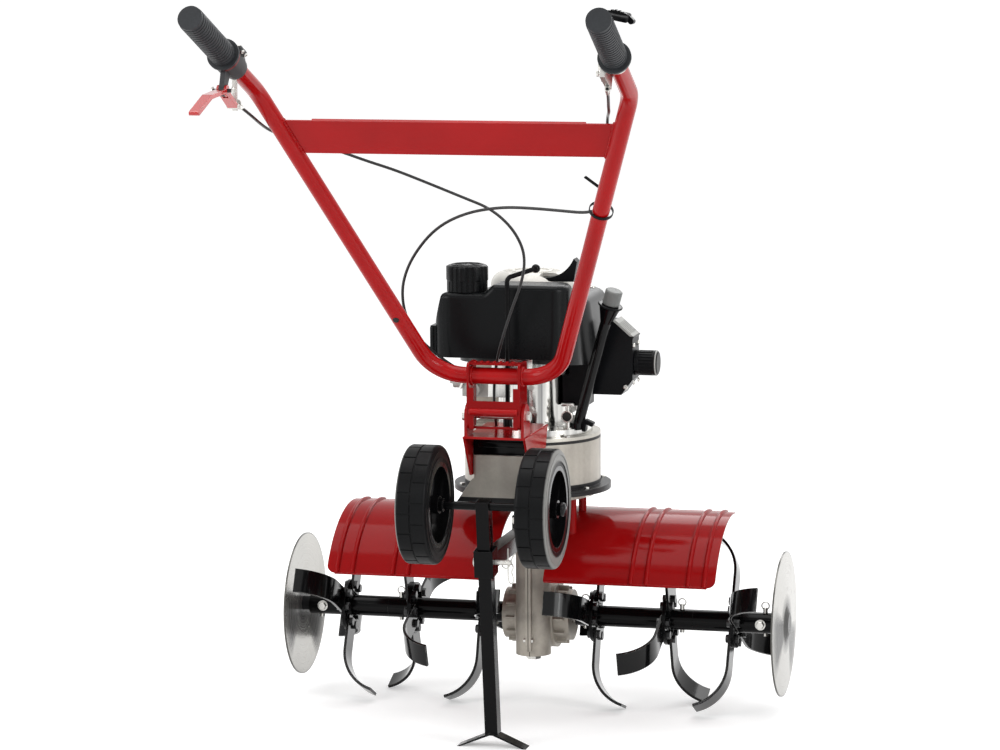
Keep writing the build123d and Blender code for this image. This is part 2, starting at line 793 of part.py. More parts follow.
engine_screw_circle = case_r - case_wall / 2
block_y = (axle_y - block_rear, worm_y)
leg_y = axle_y - sum(leg_foot) / 2
leg_z = leg_bottom + leg_bolt_rise
with BuildPart() as clutch_case:
    post_z(case_r, floor_top, case_top, 0, worm_y)
    post_z(rim_r, floor_top, floor_top + case_rim_t, 0, worm_y)
    block((-block_half, block_half), block_y, (floor_top, block_top))
    fillet(clutch_case.edges().filter_by(Axis.Z).group_by(Axis.Y)[0], block_wall)
    with BuildSketch(Plane.XZ.offset(-block_y[0])):
        with BuildLine():
            Polyline(
                (-block_half - shoulder_w, floor_top),
                (-block_half, floor_top + shoulder_h),
                (block_half, floor_top + shoulder_h),
                (block_half + shoulder_w, floor_top),
                close=True,
            )
        make_face()
    extrude(amount=block_y[0] - worm_y)
    post_z(case_r - case_wall, floor_top, case_top, 0, worm_y, Mode.SUBTRACT)
    inner_x = block_half - block_wall
    inner_y = (block_y[0] + block_wall, worm_y)
    block((-inner_x, inner_x), inner_y, (floor_top + block_wall, block_top - block_wall), Mode.SUBTRACT)
    post_z(cable_r, block_top - block_wall, block_top, clutch_foot.X, clutch_foot.Y, Mode.SUBTRACT)
    with Locations((0, worm_y, case_top)):
        with PolarLocations(engine_screw_circle, 4, 45):
            Cylinder(rim_bolt_r + slip, 2 * plate_screw_depth, mode=Mode.SUBTRACT)
    with Locations((0, worm_y, floor_top)):
        with PolarLocations(rim_bolt_circle, rim_bolts, rim_bolt_start, rim_bolt_sweep, endpoint=True):
            Cylinder(rim_bolt_r + slip, 2 * case_rim_t, mode=Mode.SUBTRACT)
    for side in (-1, 1):
        bar_x(leg_bolt_r + slip, side * inner_x, side * block_half, leg_y, leg_z, Mode.SUBTRACT)
save(clutch_case, "clutch_case")

with BuildPart() as case_seal:
    post_z(case_r, case_top, plate_low, 0, worm_y)
    post_z(case_r - case_wall, case_top, plate_low, 0, worm_y, Mode.SUBTRACT)
    with Locations((0, worm_y, plate_low)):
        with PolarLocations(engine_screw_circle, 4, 45):
            Cylinder(rim_bolt_r + slip, 4 * seal_t, mode=Mode.SUBTRACT)
save(case_seal, "case_seal")

with BuildPart() as engine_plate:
    post_z(case_r, plate_low, engine_z, 0, worm_y)
    post_z(engine_plate_hole_r, plate_low, engine_z, 0, worm_y, Mode.SUBTRACT)
    with Locations((0, worm_y, engine_z)):
        with PolarLocations(engine_screw_circle, 4, 45):
            Cylinder(rim_bolt_r + slip, 4 * engine_plate_t, mode=Mode.SUBTRACT)
        with PolarLocations(engine_bolt_circle, 4, 45):
            Cylinder(engine_bolt_r + slip, 4 * engine_plate_t, mode=Mode.SUBTRACT)
save(engine_plate, "engine_plate")

# Clutch: a cup that slides up the worm shaft onto a cone on the crankshaft, lifted by a yoke
cone_r = cup_r - cup_wall - cone_gap
taper = tan(radians(cone_deg))
worm_axis = Axis((0, worm_y, 0), (0, 0, 1))
cup_plane = Plane(origin=(0, worm_y, 0), x_dir=(1, 0, 0), z_dir=(0, -1, 0))
with BuildPart() as clutch_cup:
    post_z(cup_hub_r, groove_low - cup_lip_t, groove_low, 0, worm_y)
    post_z(cup_groove_r, groove_low, groove_high, 0, worm_y)
    post_z(cup_r, groove_high, cup_top, 0, worm_y)
    with BuildSketch(cup_plane):
        with BuildLine():
            mouth_r = cup_r - cup_wall
            Polyline(
                (0, cup_floor),
                (mouth_r - (cup_top - cup_floor) * taper, cup_floor),
                (mouth_r, cup_top),
                (0, cup_top),
                close=True,
            )
        make_face()
    revolve(axis=worm_axis, mode=Mode.SUBTRACT)
    post_z(worm_shaft_r + running, floor_top, cup_top, 0, worm_y, Mode.SUBTRACT)
save(clutch_cup, "clutch_cup")

prong_x = cup_groove_r + 2 * air
yoke_layer = (yoke_z - yoke_t / 2, yoke_z + yoke_t / 2)
with BuildPart() as clutch_yoke:
    prong_y = (worm_y - cup_hub_r - yoke_prong_w, lug_y)
    for side in (-1, 1):
        prong = (side * prong_x, side * (prong_x + yoke_prong_w))
        block(prong, prong_y, yoke_layer)
        bar_x(yoke_boss_r, prong[0], prong[1], lug_y, yoke_z)
    block((-prong_x, prong_x), (prong_y[0], prong_y[0] + yoke_prong_w), yoke_layer)
    tail_x = (clutch_foot.X - yoke_tail_half, clutch_foot.X + yoke_tail_half)
    block(tail_x, (clutch_foot.Y - yoke_tail_half, prong_y[0] + yoke_prong_w), yoke_layer)
    post_z(link_r, yoke_z, block_top - 3 * block_wall, clutch_foot.X, clutch_foot.Y)
    bar_x(yoke_pin_r + running, -lug_x, lug_x, lug_y, yoke_z, Mode.SUBTRACT)
save(clutch_yoke, "clutch_yoke")

# Crankshaft with the clutch cone at its foot, and the flywheel with fan vanes
cone_top = cone_low + cone_h
with BuildPart() as crankshaft:
    post_z(crank_r, cone_low, crank_top, 0, worm_y)
    with BuildSketch(cup_plane):
        with BuildLine():
            foot_r = cone_r - (cup_top - cone_low) * taper
            head_r = foot_r + cone_h * taper
            Polyline((0, cone_low), (foot_r, cone_low), (head_r, cone_top), (0, cone_top), close=True)
        make_face()
    revolve(axis=worm_axis)
save(crankshaft, "crankshaft")

with BuildPart() as flywheel:
    post_z(flywheel_r, flywheel_z, flywheel_z + flywheel_t, 0, worm_y)
    with Locations((0, worm_y, flywheel_z + flywheel_t + fan_h / 2)):
        with PolarLocations(flywheel_r * 0.75, fan_vanes):
            Box(flywheel_r * 0.4, vane_t, fan_h)
    post_z(crank_r + slip, flywheel_z, flywheel_z + flywheel_t, 0, worm_y, Mode.SUBTRACT)
save(flywheel, "flywheel")

# Engine: crankcase with its flange, barrel, deck and tank bracket
with BuildPart() as crankcase:
    post_z(flange_engine_r, engine_z, engine_z + flange_engine_t, 0, worm_y)
    post_z(barrel_r, engine_z, deck_z, 0, worm_y)
    post_z(deck_r, deck_z, cowl_floor, 0, worm_y)
    seat_x = (-tank_seat_half, tank_seat_half)
    seat_low = cowl_floor - tank_seat_t
    block(seat_x, (axle_y - tank_seat_back, worm_y), (seat_low, cowl_floor))
    block(seat_x, (axle_y - tank_seat_back, axle_y + cowl_y[0] - 2 * air), (seat_low, tank_z[0]))
    block((carb_x[1], -barrel_r / 2), behind(*carb_y), (carb_z - carb_half_h, deck_z))
    bar_y(cylinder_r, worm_y, worm_y + barrel_r, 0, cylinder_z)
    post_z(barrel_r - barrel_wall, engine_z + flange_engine_t, deck_z, 0, worm_y, Mode.SUBTRACT)
    post_z(crank_r + running, engine_z, cowl_floor, 0, worm_y, Mode.SUBTRACT)
    with Locations((0, worm_y, engine_z)):
        with PolarLocations(engine_bolt_circle, 4, 45):
            Cylinder(engine_bolt_r + slip, 4 * flange_engine_t, mode=Mode.SUBTRACT)
save(crankcase, "crankcase")

# Cylinder with cooling fins and head, and the muffler beside it
cylinder_y = worm_y + barrel_r
head_y = cylinder_y + cylinder_len
with BuildPart() as cylinder:
    bar_y(cylinder_r, cylinder_y, head_y, 0, cylinder_z)
    fin_z = (cylinder_z - fin_half, cylinder_z + fin_half)
    for fin in range(2, int(cylinder_len / fin_pitch)):
        cooling_y = cylinder_y + fin * fin_pitch
        block((-fin_half, fin_half), (cooling_y, cooling_y + fin_t), fin_z)
    block((-fin_half, fin_half), (head_y, head_y + head_t), fin_z)
    bar_y(3 * engine_bolt_r, head_y + head_t, head_y + 2 * head_t, 0, cylinder_z)
save(cylinder, "cylinder")

with BuildPart() as muffler:
    muffler_z = (cylinder_z - muffler_half_h, cylinder_z + muffler_half_h)
    block(muffler_x, (axle_y + muffler_back, head_y + head_t), muffler_z)
    fillet(muffler.edges(), muffler_pipe_r)
    bar_x(muffler_pipe_r, muffler_x[1] - muffler_pipe_r, -fin_half, head_y + head_t / 2, cylinder_z)
save(muffler, "muffler")

# Cowl over the flywheel, starter cover and starter grip
cowl_depth = behind(*cowl_y)
cowl_mid = (sum(cowl_x) / 2, sum(cowl_depth) / 2)


def cowl_shell(inset, low, high):
    """The cowl's drafted outline between two heights, drawn in by a wall's thickness."""
    width = cowl_x[1] - cowl_x[0] - 2 * inset
    depth = cowl_depth[1] - cowl_depth[0] - 2 * inset
    with BuildPart() as shell:
        with BuildSketch(Plane.XY.offset(low)):
            with Locations(cowl_mid):
                RectangleRounded(width, depth, cowl_corner_r - inset)
        extrude(amount=high - low, taper=cowl_draft_deg)
        fillet(shell.faces().sort_by(Axis.Z)[-1].edges(), cowl_edge_r)
    return shell.part


with BuildPart() as engine_cowl:
    add(cowl_shell(0, cowl_floor, cowl_top))
    post_z(cover_r, cowl_top - cover_seat_h, cowl_top, 0, worm_y)
    add(cowl_shell(cowl_wall, cowl_floor + cowl_wall, cowl_top - cowl_wall), mode=Mode.SUBTRACT)
    post_z(crank_r * 3, cowl_floor, cowl_floor + cowl_wall, 0, worm_y, Mode.SUBTRACT)
save(engine_cowl, "engine_cowl")

# Starter cover: a shallow dome with a notch for the pull grip, which rises from it like a fin
cover_top = cowl_top + cover_h
notch_z = cowl_top + cover_notch_h
fin_y = worm_y - grip_fin_back
with BuildPart() as starter_cover:
    post_z(cover_r, cowl_top, cover_top, 0, worm_y)
    fillet(starter_cover.faces().sort_by(Axis.Z)[-1].edges(), cover_edge_r)
    notch_y = (fin_y - grip_fin_half - 2 * air, fin_y + grip_fin_half + 2 * air)
    block((cover_notch_x, cover_r), notch_y, (notch_z, cover_top), Mode.SUBTRACT)
save(starter_cover, "starter_cover")

with BuildPart() as starter_grip:
    with BuildSketch(Plane.XZ.offset(-fin_y)):
        with BuildLine():
            fin_top = notch_z + grip_fin_h
            fin_back = Line((grip_fin_x[0], notch_z), (grip_fin_x[0], notch_z + grip_fin_t))
            fin_rise = (sum(grip_fin_x) / 2, notch_z + 2 * grip_fin_t)
            sweep_up = ThreePointArc(fin_back @ 1, fin_rise, (grip_fin_x[1] - grip_fin_t, fin_top))
            Polyline(
                sweep_up @ 1,
                (grip_fin_x[1], fin_top - grip_fin_t),
                (grip_fin_x[1] - grip_fin_t, notch_z),
                (grip_fin_x[0], notch_z),
            )
        make_face()
    extrude(amount=grip_fin_half, both=True)
save(starter_grip, "starter_grip")

# Fuel tank with a skirt at its left foot, filler neck and ribbed cap
tank_depth = behind(*tank_y)
cap_y = sum(tank_depth) / 2


def tank_body(inset):
    """The tank's outline with its leaning left side and raised right part, drawn in by a wall."""
    foot = tank_z[0] + inset
    top = tank_z[1] - inset
    left = tank_x[0] + inset
    right = tank_x[1] - inset
    depth = tank_depth[1] - tank_depth[0] - 2 * inset
    with BuildPart() as body:
        with BuildSketch(Plane.XZ.offset(-cap_y)):
            with BuildLine():
                Polyline(
                    (left, foot),
                    (right, foot),
                    (right, top + tank_crown),
                    (tank_crown_x + inset, top + tank_crown),
                    (tank_crown_x + inset - tank_crown, top),
                    (left + tank_lean, top),
                    (left, tank_lean_z),
                    close=True,
                )
            make_face()
        extrude(amount=tank_depth[1] - tank_depth[0], both=True)
        with BuildSketch(Plane.XY.offset(foot)):
            with Locations(((left + right) / 2, cap_y)):
                RectangleRounded(right - left, depth, tank_corner_r - inset)
        extrude(amount=2 * (top - foot), mode=Mode.INTERSECT)
    return body.part


with BuildPart() as fuel_tank:
    add(tank_body(0))
    upper = fuel_tank.edges().filter_by(lambda edge: edge.center().Z > tank_z[1] - air)
    fillet(upper, tank_edge_r)
    skirt_x = (tank_x[0] - skirt_w, tank_x[0] + tank_corner_r)
    skirt_y = (tank_depth[0] + tank_corner_r * 0.6, tank_depth[1] - tank_corner_r * 0.6)
    block(skirt_x, skirt_y, (tank_z[0], tank_z[0] + skirt_h))
    post_z(neck_r, tank_z[1] - tank_wall, tank_z[1] + neck_h, neck_x, cap_y)
    add(tank_body(tank_wall), mode=Mode.SUBTRACT)
    post_z(neck_r - tank_wall, tank_z[1] - tank_edge_r, tank_z[1] + neck_h, neck_x, cap_y, Mode.SUBTRACT)
save(fuel_tank, "fuel_tank")

cap_low = tank_z[1] + air
with BuildPart() as fuel_cap:
    post_z(cap_r, cap_low, cap_low + cap_h, neck_x, cap_y)
    fillet(fuel_cap.faces().sort_by(Axis.Z)[-1].edges(), 3 * cap_rib_r)
    with Locations((neck_x, cap_y, cap_low + cap_h / 2)):
        with PolarLocations(cap_r, cap_ribs):
            Cylinder(cap_rib_r, cap_h, mode=Mode.SUBTRACT)
    post_z(neck_r + running, cap_low, tank_z[1] + neck_h, neck_x, cap_y, Mode.SUBTRACT)
save(fuel_cap, "fuel_cap")

# Oil filler tube leaning outwards from the crankcase flange, and its dipstick
oil_low = engine_z + flange_engine_t
oil_foot = Vector(oil_foot_x, axle_y - oil_foot_back, oil_low)
oil_top = Vector(oil_top_x, axle_y - oil_top_back, oil_top_z)
oil_plane = Plane(origin=oil_foot, x_dir=(0, 1, 0), z_dir=oil_top - oil_foot)
oil_len = (oil_top - oil_foot).length
upright = (Align.CENTER, Align.CENTER, Align.MIN)
with BuildPart() as oil_tube:
    with Locations(oil_plane.location):
        Cylinder(oil_tube_r, oil_len, align=upright)
    with Locations(oil_plane.offset(oil_len - oil_funnel_len).location):
        Cone(oil_tube_r, oil_funnel_r, oil_funnel_len, align=upright)
    post_z(oil_tube_r + tank_wall, oil_low, oil_low + oil_tube_r, oil_foot.X, oil_foot.Y)
    with Locations(oil_plane.offset(oil_tube_r * 2).location):
        Cylinder(oil_bore_r, oil_len, align=upright, mode=Mode.SUBTRACT)
    post_z(4 * oil_tube_r, engine_z, oil_low, oil_foot.X, oil_foot.Y, Mode.SUBTRACT)
save(oil_tube, "oil_tube")

with BuildPart() as dipstick:
    with Locations(oil_plane.offset(oil_len).location):
        Cylinder(dipstick_cap_r, dipstick_cap_h, align=upright)
    fillet(dipstick.edges(), dipstick_r)
    with Locations(oil_plane.offset(oil_len - dipstick_len).location):
        Cylinder(dipstick_r, dipstick_len, align=upright)
    with Locations(oil_plane.offset(oil_len - oil_funnel_len / 2).location):
        Cylinder(oil_bore_r - running, oil_funnel_len / 2, align=upright)
save(dipstick, "dipstick")

# Air filter box, its slotted cover on the slanted corner and its knob
filter_depth = behind(*filter_y)
filter_mid_y = sum(filter_depth) / 2
corner_top = (filter_x[1] - filter_high_cut[0], filter_z[1])
corner_side = (filter_x[1], filter_z[1] - filter_high_cut[1])
with BuildPart() as air_filter_box:
    with BuildSketch(Plane.XZ.offset(-filter_depth[1])):
        with BuildLine():
            Polyline(
                (filter_x[0], filter_z[0]),
                (filter_x[1] - filter_low_cut[0], filter_z[0]),
                (filter_x[1], filter_z[0] + filter_low_cut[1]),
                corner_side,
                corner_top,
                (filter_x[0], filter_z[1]),
                close=True,
            )
        make_face()
    extrude(amount=filter_depth[1] - filter_depth[0])
    block((barrel_r + slip, duct_x), filter_depth, (duct_low, deck_z - air))
    block((deck_r + slip, filter_x[0]), filter_depth, (filter_z[0], cowl_floor - air))
    bar_x(knob_stem_r + running, filter_x[1] - knob_len / 2, filter_x[1], filter_mid_y, knob_z, Mode.SUBTRACT)
save(air_filter_box, "air_filter_box")

slant = Vector(*corner_side) - Vector(*corner_top)
slant_len = slant.length
cover_origin = (
    (corner_top[0] + corner_side[0]) / 2,
    filter_mid_y,
    (corner_top[1] + corner_side[1]) / 2,
)
cover_plane = Plane(origin=cover_origin, x_dir=(slant.X, 0, slant.Y), z_dir=(-slant.Y, 0, slant.X))
cover_w = filter_depth[1] - filter_depth[0]
with BuildPart() as air_filter_cover:
    with Locations(cover_plane.location):
        Box(slant_len, cover_w, filter_cover_t, align=upright)
    with Locations(cover_plane.offset(filter_cover_t).location):
        with GridLocations(slant_len, cover_w / filter_slots, 1, filter_slots):
            Box(slant_len * 0.6, cover_w / filter_slots * 0.4, filter_cover_t, mode=Mode.SUBTRACT)
save(air_filter_cover, "air_filter_cover")

with BuildPart() as filter_knob:
    bar_x(knob_r, filter_x[1] + air, filter_x[1] + air + knob_len, filter_mid_y, knob_z)
    fillet(filter_knob.edges().group_by(Axis.X)[-1], 3 * cap_rib_r)
    with Locations(Location((filter_x[1] + knob_len / 2, filter_mid_y, knob_z), (0, 90, 0))):
        with PolarLocations(knob_r, cap_ribs):
            Cylinder(cap_rib_r, knob_len * 0.6, mode=Mode.SUBTRACT)
    bar_x(knob_stem_r, filter_x[1] - knob_len / 2 + air, filter_x[1] + knob_len / 2, filter_mid_y, knob_z)
save(filter_knob, "filter_knob")

# Carburettor on the crankcase's left side, with the bracket that takes the throttle cable
throttle_end = from_axle(throttle_route[-1])
with BuildPart() as carburettor:
    carb_depth = behind(*carb_y)
    block(carb_x, carb_depth, (carb_z - carb_half_h, throttle_end.Z - 2 * cable_r))
    bowl_y = (carb_depth[0] - carb_half_h, carb_depth[0])
    bar_y(carb_half_h * 0.6, bowl_y[0], bowl_y[1], sum(carb_x) / 2, carb_z - carb_half_h * 0.3)
    bracket_x = (carb_x[0] - carb_half_h, carb_x[1])
    bracket_y = (throttle_end.Y + air, throttle_end.Y + frame_t)
    block(bracket_x, bracket_y, (carb_z, throttle_end.Z + 3 * cable_r))
    bar_x(carb_half_h * 0.5, bracket_x[0], carb_x[0], carb_depth[1] - carb_half_h, carb_z)
save(carburettor, "carburettor")

# Bolts that hold the castings and the frame, and the pivot bolt of the handlebar
rim_bolt = hex_bolt(rim_bolt_r, case_rim_t + floor_t)
plate_screw = hex_bolt(rim_bolt_r, engine_plate_t + seal_t + plate_screw_depth - air, nut=False)
engine_bolt = hex_bolt(engine_bolt_r, flange_engine_t + engine_plate_t)
seam_bolt = hex_bolt(seam_bolt_r, 2 * seam_t)
leg_bolt = hex_bolt(leg_bolt_r, frame_t + block_wall)
pivot_bolt = hex_bolt(pivot_r, 2 * (ear_x + ear_t))
with BuildPart() as body_bolts:
    with Locations((0, worm_y, floor_top + case_rim_t)):
        with PolarLocations(rim_bolt_circle, rim_bolts, rim_bolt_start, rim_bolt_sweep, endpoint=True):
            add(rim_bolt)
    with Locations((0, worm_y, engine_z)):
        with PolarLocations(engine_screw_circle, 4, 45):
            add(plate_screw)
    with Locations((0, worm_y, engine_z + flange_engine_t)):
        with PolarLocations(engine_bolt_circle, 4, 45):
            add(engine_bolt)
    with Locations([Location((seam_t, y, z), (0, 90, 0)) for y, z in seam_bolt_places]):
        add(seam_bolt)
    for side in (-1, 1):
        with Locations(Location((side * frame_half, leg_y, leg_z), (0, 90 * side, 0))):
            add(leg_bolt)
    with Locations(Location((ear_x + ear_t, pivot_y, pivot_z), (0, 90, 0))):
        add(pivot_bolt)
    with BuildSketch(Plane((0, worm_y, column_bottom))):
        RegularPolygon(plug_r * bolt_across / 2, 6, major_radius=False)
    extrude(amount=-plug_r * bolt_head)
    post_z(plug_r - slip, column_bottom, worm_low - air, 0, worm_y)
save(body_bolts, "body_bolts")

# Main frame: folded sheet with two legs on the case's rear block and two ears for the pivot bolt
frame_y = behind(-frame_rear, -frame_front)
with BuildPart() as main_frame:
    block((-frame_half, frame_half), frame_y, (frame_top - frame_t, frame_top))
    for side in (-1, 1):
        with BuildSketch(Plane.YZ.offset(side * block_half)):
            with BuildLine():
                Polyline(
                    (frame_y[0], frame_top),
                    (frame_y[1], frame_top),
                    (axle_y - leg_foot[1], leg_bottom),
                    (axle_y - leg_foot[0], leg_bottom),
                    close=True,
                )
            make_face()
        extrude(amount=side * frame_t)
    fillet(main_frame.edges().filter_by(Axis.Y).group_by(Axis.Z)[-1], frame_t / 2)
    for side in (-1, 1):
        leg_x = (side * block_half, side * frame_half)
        ear = (side * ear_x, side * (ear_x + ear_t))
        block(ear, (pivot_y - ear_half, pivot_y + ear_half), (frame_top, pivot_z))
        bar_x(ear_half, ear[0], ear[1], pivot_y, pivot_z)
        bar_x(leg_bolt_r + slip, leg_x[0], leg_x[1], leg_y, leg_z, Mode.SUBTRACT)
    bar_x(pivot_r + slip, -frame_half, frame_half, pivot_y, pivot_z, Mode.SUBTRACT)
    post_z(gear_r + running, leg_bottom, frame_top, gear_x, axle_y - gear_back, Mode.SUBTRACT)
    post_z(4 * cable_r, leg_bottom, frame_top, cable_hole[0], axle_y + cable_hole[1], Mode.SUBTRACT)
save(main_frame, "main_frame")

# Handlebar bracket: two cheeks joined by bars, turning on the pivot bolt
with BuildPart() as handlebar_bracket:
    cheek_y = (pivot_y - cheek_half_depth, pivot_y + cheek_half_depth)
    between = (-cheek_half + cheek_t, cheek_half - cheek_t)
    for side in (-1, 1):
        cheek = (side * (cheek_half - cheek_t), side * cheek_half)
        block(cheek, cheek_y, (bracket_low, bracket_high))
    fillet(handlebar_bracket.edges().filter_by(Axis.X), 2 * cheek_t)
    rear_web = (cheek_y[0], cheek_y[0] + cheek_t)
    block(between, rear_web, bracket_bar)
    for side in (-1, 1):
        band = (side * (cheek_half - bracket_band_w), side * (cheek_half - cheek_t))
        block(band, rear_web, (bracket_low, bracket_band_top))
    block(between, (cheek_y[0] + 2 * cheek_t, pivot_y), (bracket_high - cheek_t, bracket_high))
    base_y = (cheek_y[0] + 2 * cheek_t, pivot_y - 2 * pivot_r)
    block(between, base_y, (bracket_low, bracket_low + cheek_t))
    bar_x(bar_r + slip, -cheek_half, cheek_half, axle_y - bar_back, bar_z, Mode.SUBTRACT)
    bar_x(pivot_r + running, -cheek_half, cheek_half, pivot_y, pivot_z, Mode.SUBTRACT)
save(handlebar_bracket, "handlebar_bracket")

# Handlebar: one tube bent from the left grip, down to the bracket and up to the right grip
elbow_right = from_axle(elbow)
end_right = from_axle(grip_end)
corner_right = Vector(bar_corner_x, axle_y - bar_back, bar_z)
grip_dir = (end_right - elbow_right).normalized()
bar_tip = end_right - grip_dir * grip_cap_t
bar_points = [bar_tip, elbow_right, corner_right]
bar_points = [Vector(-p.X, p.Y, p.Z) for p in bar_points] + bar_points[::-1]
with BuildPart() as handlebar_tube:
    with BuildLine() as bar_path:
        FilletPolyline(*bar_points, radius=[elbow_r, bar_corner_r, bar_corner_r, elbow_r])
    with BuildSketch(Plane(origin=bar_path.line @ 0, z_dir=bar_path.line % 0)):
        Circle(bar_r)
        Circle(bar_r - bar_wall, mode=Mode.SUBTRACT)
    sweep(path=bar_path.line)
save(handlebar_tube, "handlebar_tube")

# Crossbar: a sheet with folded edges, welded between the two arms in their plane
arm_dir = (elbow_right - corner_right).normalized()
arm_up = Vector(0, arm_dir.Y, arm_dir.Z).normalized()
arm_plane = Plane(origin=(0, axle_y - bar_back, bar_z), x_dir=(1, 0, 0), z_dir=Vector(1, 0, 0).cross(arm_up))
spread = arm_dir.X / Vector(0, arm_dir.Y, arm_dir.Z).length
crossbar_up = [(z - bar_z) / arm_up.Z for z in crossbar_z]
crossbar_gap = (bar_r + slip) / arm_dir.dot(arm_up)
crossbar_half = [bar_corner_x + spread * up - crossbar_gap for up in crossbar_up]
with BuildPart() as crossbar:
    with BuildSketch(arm_plane):
        with BuildLine():
            Polyline(
                (-crossbar_half[0], crossbar_up[0]),
                (crossbar_half[0], crossbar_up[0]),
                (crossbar_half[1], crossbar_up[1]),
                (-crossbar_half[1], crossbar_up[1]),
                close=True,
            )
        make_face()
    extrude(amount=crossbar_t / 2, both=True)
    for up in (crossbar_up[0] + crossbar_t / 2, crossbar_up[1] - crossbar_t / 2):
        fold_w = 2 * (crossbar_half[0] - crossbar_fold_gap)
        with Locations(arm_plane.location * Location((0, up, -crossbar_fold / 2))):
            Box(fold_w, crossbar_t, crossbar_fold)
save(crossbar, "crossbar")

# Grips: ribbed rubber tubes with a closed end and a flange, right one made and then mirrored
grip_start = end_right - grip_dir * grip_len
grip_plane = Plane(origin=grip_start, x_dir=(1, 0, 0), z_dir=grip_dir)
rib_pitch = (grip_len - 2 * grip_flange_t - grip_cap_t) / grip_ribs
with BuildPart() as grip_right:
    with Locations(grip_plane.location):
        Cylinder(grip_r - grip_rib_h, grip_len, align=upright)
        Cylinder(grip_flange_r, grip_flange_t, align=upright)
    for rib in range(grip_ribs):
        with Locations(grip_plane.offset(2 * grip_flange_t + rib * rib_pitch).location):
            Cylinder(grip_r, rib_pitch * 0.6, align=upright)
    with Locations(grip_plane.location):
        Cylinder(bar_r + slip, grip_len - grip_cap_t + slip, align=upright, mode=Mode.SUBTRACT)

with BuildPart() as handle_grips:
    add(grip_right.part)
    mirror(grip_right.part, about=Plane.YZ)
save(handle_grips, "handle_grips")

# Left control: clamp round the tube with an arm, a pivot pin and the plate that stops the cable
left_start = Vector(-grip_start.X, grip_start.Y, grip_start.Z)
left_dir = Vector(-grip_dir.X, grip_dir.Y, grip_dir.Z)
clamp_plane = Plane(origin=left_start - left_dir * (clamp_len + air), x_dir=(1, 0, 0), z_dir=left_dir)
lever_plane = Plane(origin=(lever_x, axle_y, 0), x_dir=(0, 1, 0), z_dir=(1, 0, 0))
stop_y = axle_y - stop_back
with BuildPart() as clutch_clamp:
    with Locations(clamp_plane.location):
        Cylinder(clamp_r, clamp_len, align=upright)
    with BuildSketch(lever_plane):
        with BuildLine():
            Polyline(
                (lever_pivot[0] - lever_eye_r, lever_pivot[1]),
                (lever_pivot[0] + lever_eye_r, lever_pivot[1]),
                (lever_pivot[0] + clamp_len, grip_start.Z - clamp_len * 0.4),
                (lever_pivot[0] + lever_eye_r, grip_start.Z - clamp_r * 0.3),
                close=True,
            )
        make_face()
        with Locations(lever_pivot):
            Circle(lever_eye_r)
    extrude(amount=clamp_arm_t / 2, both=True)
    with Locations(clamp_plane.offset(-collar_len).location):
        Cylinder(collar_r, collar_len, align=upright)
    stop_x = (lever_x - stop_half, lever_x + stop_half)
    block(stop_x, (stop_y - stop_t, stop_y), stop_z)
    with Locations(clamp_plane.offset(-clamp_len).location):
        Cylinder(bar_r + slip, 3 * clamp_len, align=upright, mode=Mode.SUBTRACT)
    bar_x(lever_pin_r, lever_x - lever_w, lever_x + lever_w, axle_y + lever_pivot[0], lever_pivot[1])
save(clutch_clamp, "clutch_clamp")

# Clutch lever: a blade under the grip, forked round the clamp's arm, with a heel that pulls the cable
with BuildPart() as clutch_lever:
    with BuildSketch(lever_plane):
        with BuildLine():
            Polyline(lever_tip, lever_bend, lever_pivot, lever_heel)
        trace(line_width=lever_t)
        with Locations(lever_tip, lever_bend, lever_heel):
            Circle(lever_t / 2)
        with Locations(lever_pivot):
            Circle(lever_eye_r)
    extrude(amount=lever_w / 2, both=True)
    slot_r = 2.2 * lever_eye_r
    slot = (lever_x - clamp_arm_t / 2 - air, lever_x + clamp_arm_t / 2 + air)
    bar_x(slot_r, slot[0], slot[1], axle_y + lever_pivot[0], lever_pivot[1], Mode.SUBTRACT)
    eye_x = (lever_x - lever_w, lever_x + lever_w)
    bar_x(lever_pin_r + running, eye_x[0], eye_x[1], axle_y + lever_pivot[0], lever_pivot[1], Mode.SUBTRACT)
save(clutch_lever, "clutch_lever")

# Right control: ring and plate on the tube, with the throttle lever on a pin
ring_plane = Plane(origin=grip_start - grip_dir * (throttle_ring_len + air), x_dir=(1, 0, 0), z_dir=grip_dir)
throttle_y = grip_start.Y + throttle_ahead
throttle_z = grip_start.Z - throttle_below
plate_x = grip_start.X - throttle_ring_r
plate_face = plate_x - throttle_plate_t
plate_pivot = (plate_x, throttle_y, throttle_z)
plate_plane = Plane(origin=plate_pivot, x_dir=(1, 0, 0), z_dir=(0, grip_dir.Y, grip_dir.Z))
with BuildPart() as throttle_bracket:
    with Locations(ring_plane.location):
        Cylinder(throttle_ring_r, throttle_ring_len, align=upright)
    with Locations(plate_plane.location * Location((0, -throttle_plate_t, throttle_plate_t))):
        Box(2 * throttle_plate_t, throttle_plate_w, throttle_plate_len)
    with Locations(ring_plane.offset(-2 * throttle_ring_len).location):
        Cylinder(bar_r + slip, 4 * throttle_ring_len, align=upright, mode=Mode.SUBTRACT)
    pin_end = plate_face - 3 * throttle_lever_t
    bar_x(throttle_pin_r, pin_end, plate_face, throttle_y, throttle_z)
    bar_x(2 * throttle_pin_r, pin_end - throttle_lever_t, pin_end, throttle_y, throttle_z)
save(throttle_bracket, "throttle_bracket")

